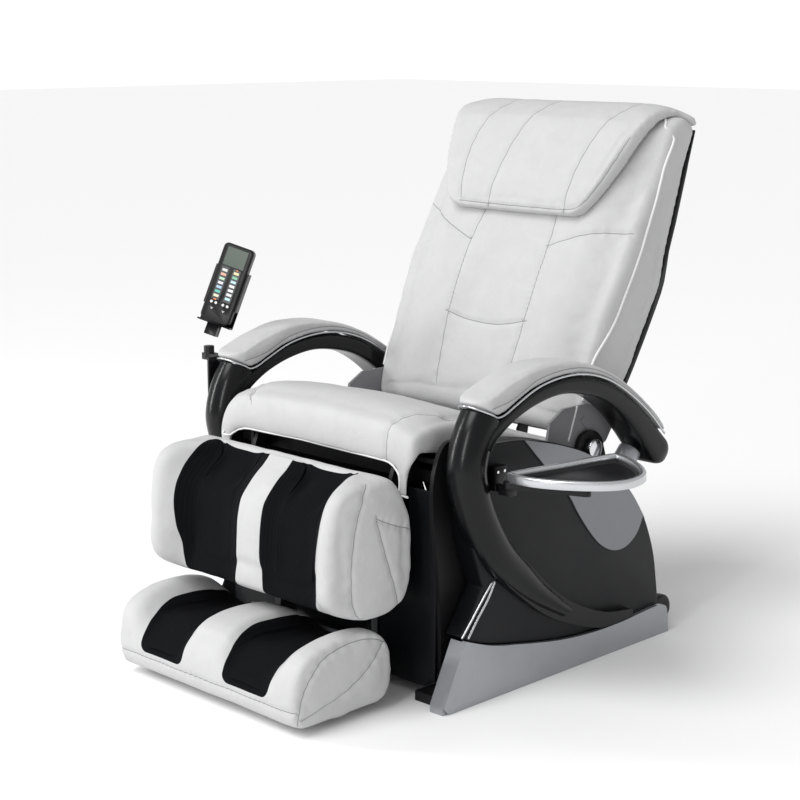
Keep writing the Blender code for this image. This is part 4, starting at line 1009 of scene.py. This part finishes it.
painted = {
    "lead_screw": chrome, "massage_carriage": paintedSteel, "kneading_arm_left": paintedSteel,
    "kneading_arm_right": paintedSteel, "leg_motor_tube": darkPlastic, "back_motor_tube": darkPlastic,
    "leg_motor_rod": chrome, "back_motor_rod": chrome, "power_switch": darkPlastic, "remote_screen": screenGlass,
    "mode_key_1": keyGrey, "mode_key_2": keyGrey,
}
painted.update({"roller_%s_%s" % (level, label): rollerPlastic for level in ("upper", "lower")
                for label, _ in sides})
painted.update({"round_key_%d" % k: keyWhite for k in (1, 2, 3, 4)})
for name, material in painted.items():
    mesh = nodes[name].data
    mesh.materials.clear()
    mesh.materials.append(material)
print("hard parts done")


# ---- stage, light and camera ----
def backdrop():
    bm = bmesh.new()
    bmesh.ops.create_grid(bm, x_segments=1, y_segments=1, size=30.0)
    mesh = bpy.data.meshes.new("floor")
    bm.to_mesh(mesh)
    bm.free()
    floor = bpy.data.objects.new("floor", mesh)
    floor.location.z = min(cadLow[2], 0.0) - 0.0005
    bpy.context.scene.collection.objects.link(floor)
    mesh.materials.append(surface("floor", hard, Colour=(0.93, 0.93, 0.93), Roughness=0.8, Grain_Depth=0.0,
                                  Mottle=0.0, shine=0.1))
    return floor


def lamp(name, position, target, size, power):
    data = bpy.data.lights.new(name, "AREA")
    data.shape = "RECTANGLE"
    data.size, data.size_y = size
    data.energy = power
    item = bpy.data.objects.new(name, data)
    item.location = position
    item.rotation_euler = (Vector(target) - Vector(position)).to_track_quat("-Z", "Y").to_euler()
    bpy.context.scene.collection.objects.link(item)
    return item


def studioWorld(seen, light):
    """A plain world of one brightness to the camera and another to the object."""
    world = bpy.data.worlds.new("studio")
    world.use_nodes = True
    tree = world.node_tree
    background = tree.nodes["Background"]
    background.inputs[0].default_value = (1.0, 1.0, 1.0, 1.0)
    rays = addNode(tree, "LightPath")
    strength = addNode(tree, "MapRange", None, i0=rays.outputs["Is Camera Ray"], i3=light, i4=seen).outputs[0]
    tree.links.new(strength, background.inputs[1])
    return world


bpy.context.scene.world = studioWorld(1.05, 0.56)
bpy.context.scene.view_settings.view_transform = "Standard"
sun = bpy.data.objects.new("sun", bpy.data.lights.new("sun", "SUN"))
sun.data.energy = 1.75
sun.data.angle = math.radians(35)
sun.rotation_euler = Vector((0.10, 0.62, -0.90)).to_track_quat("-Z", "Y").to_euler()
bpy.context.scene.collection.objects.link(sun)
middle = (0, -0.1, 0.5)
backdrop()
lamp("front strip", (-2.7, -2.5, 1.5), middle, (0.25, 2.2), 42)
lamp("side strip", (1.1, -3.7, 1.7), middle, (0.22, 1.8), 26)

camera = bpy.data.objects.new("camera", bpy.data.cameras.new("camera"))
camera.data.lens = 81.19
camera.data.sensor_width = 36.0
camera.data.clip_end = 100.0
camera.location = (2.479, -2.672, 1.224)
turn, tilt = math.radians(44.815), math.radians(11.614)
aim = Vector((-math.sin(turn) * math.cos(tilt), math.cos(turn) * math.cos(tilt), -math.sin(tilt)))
camera.rotation_euler = aim.to_track_quat("-Z", "Y").to_euler()
bpy.context.scene.collection.objects.link(camera)
bpy.context.scene.camera = camera
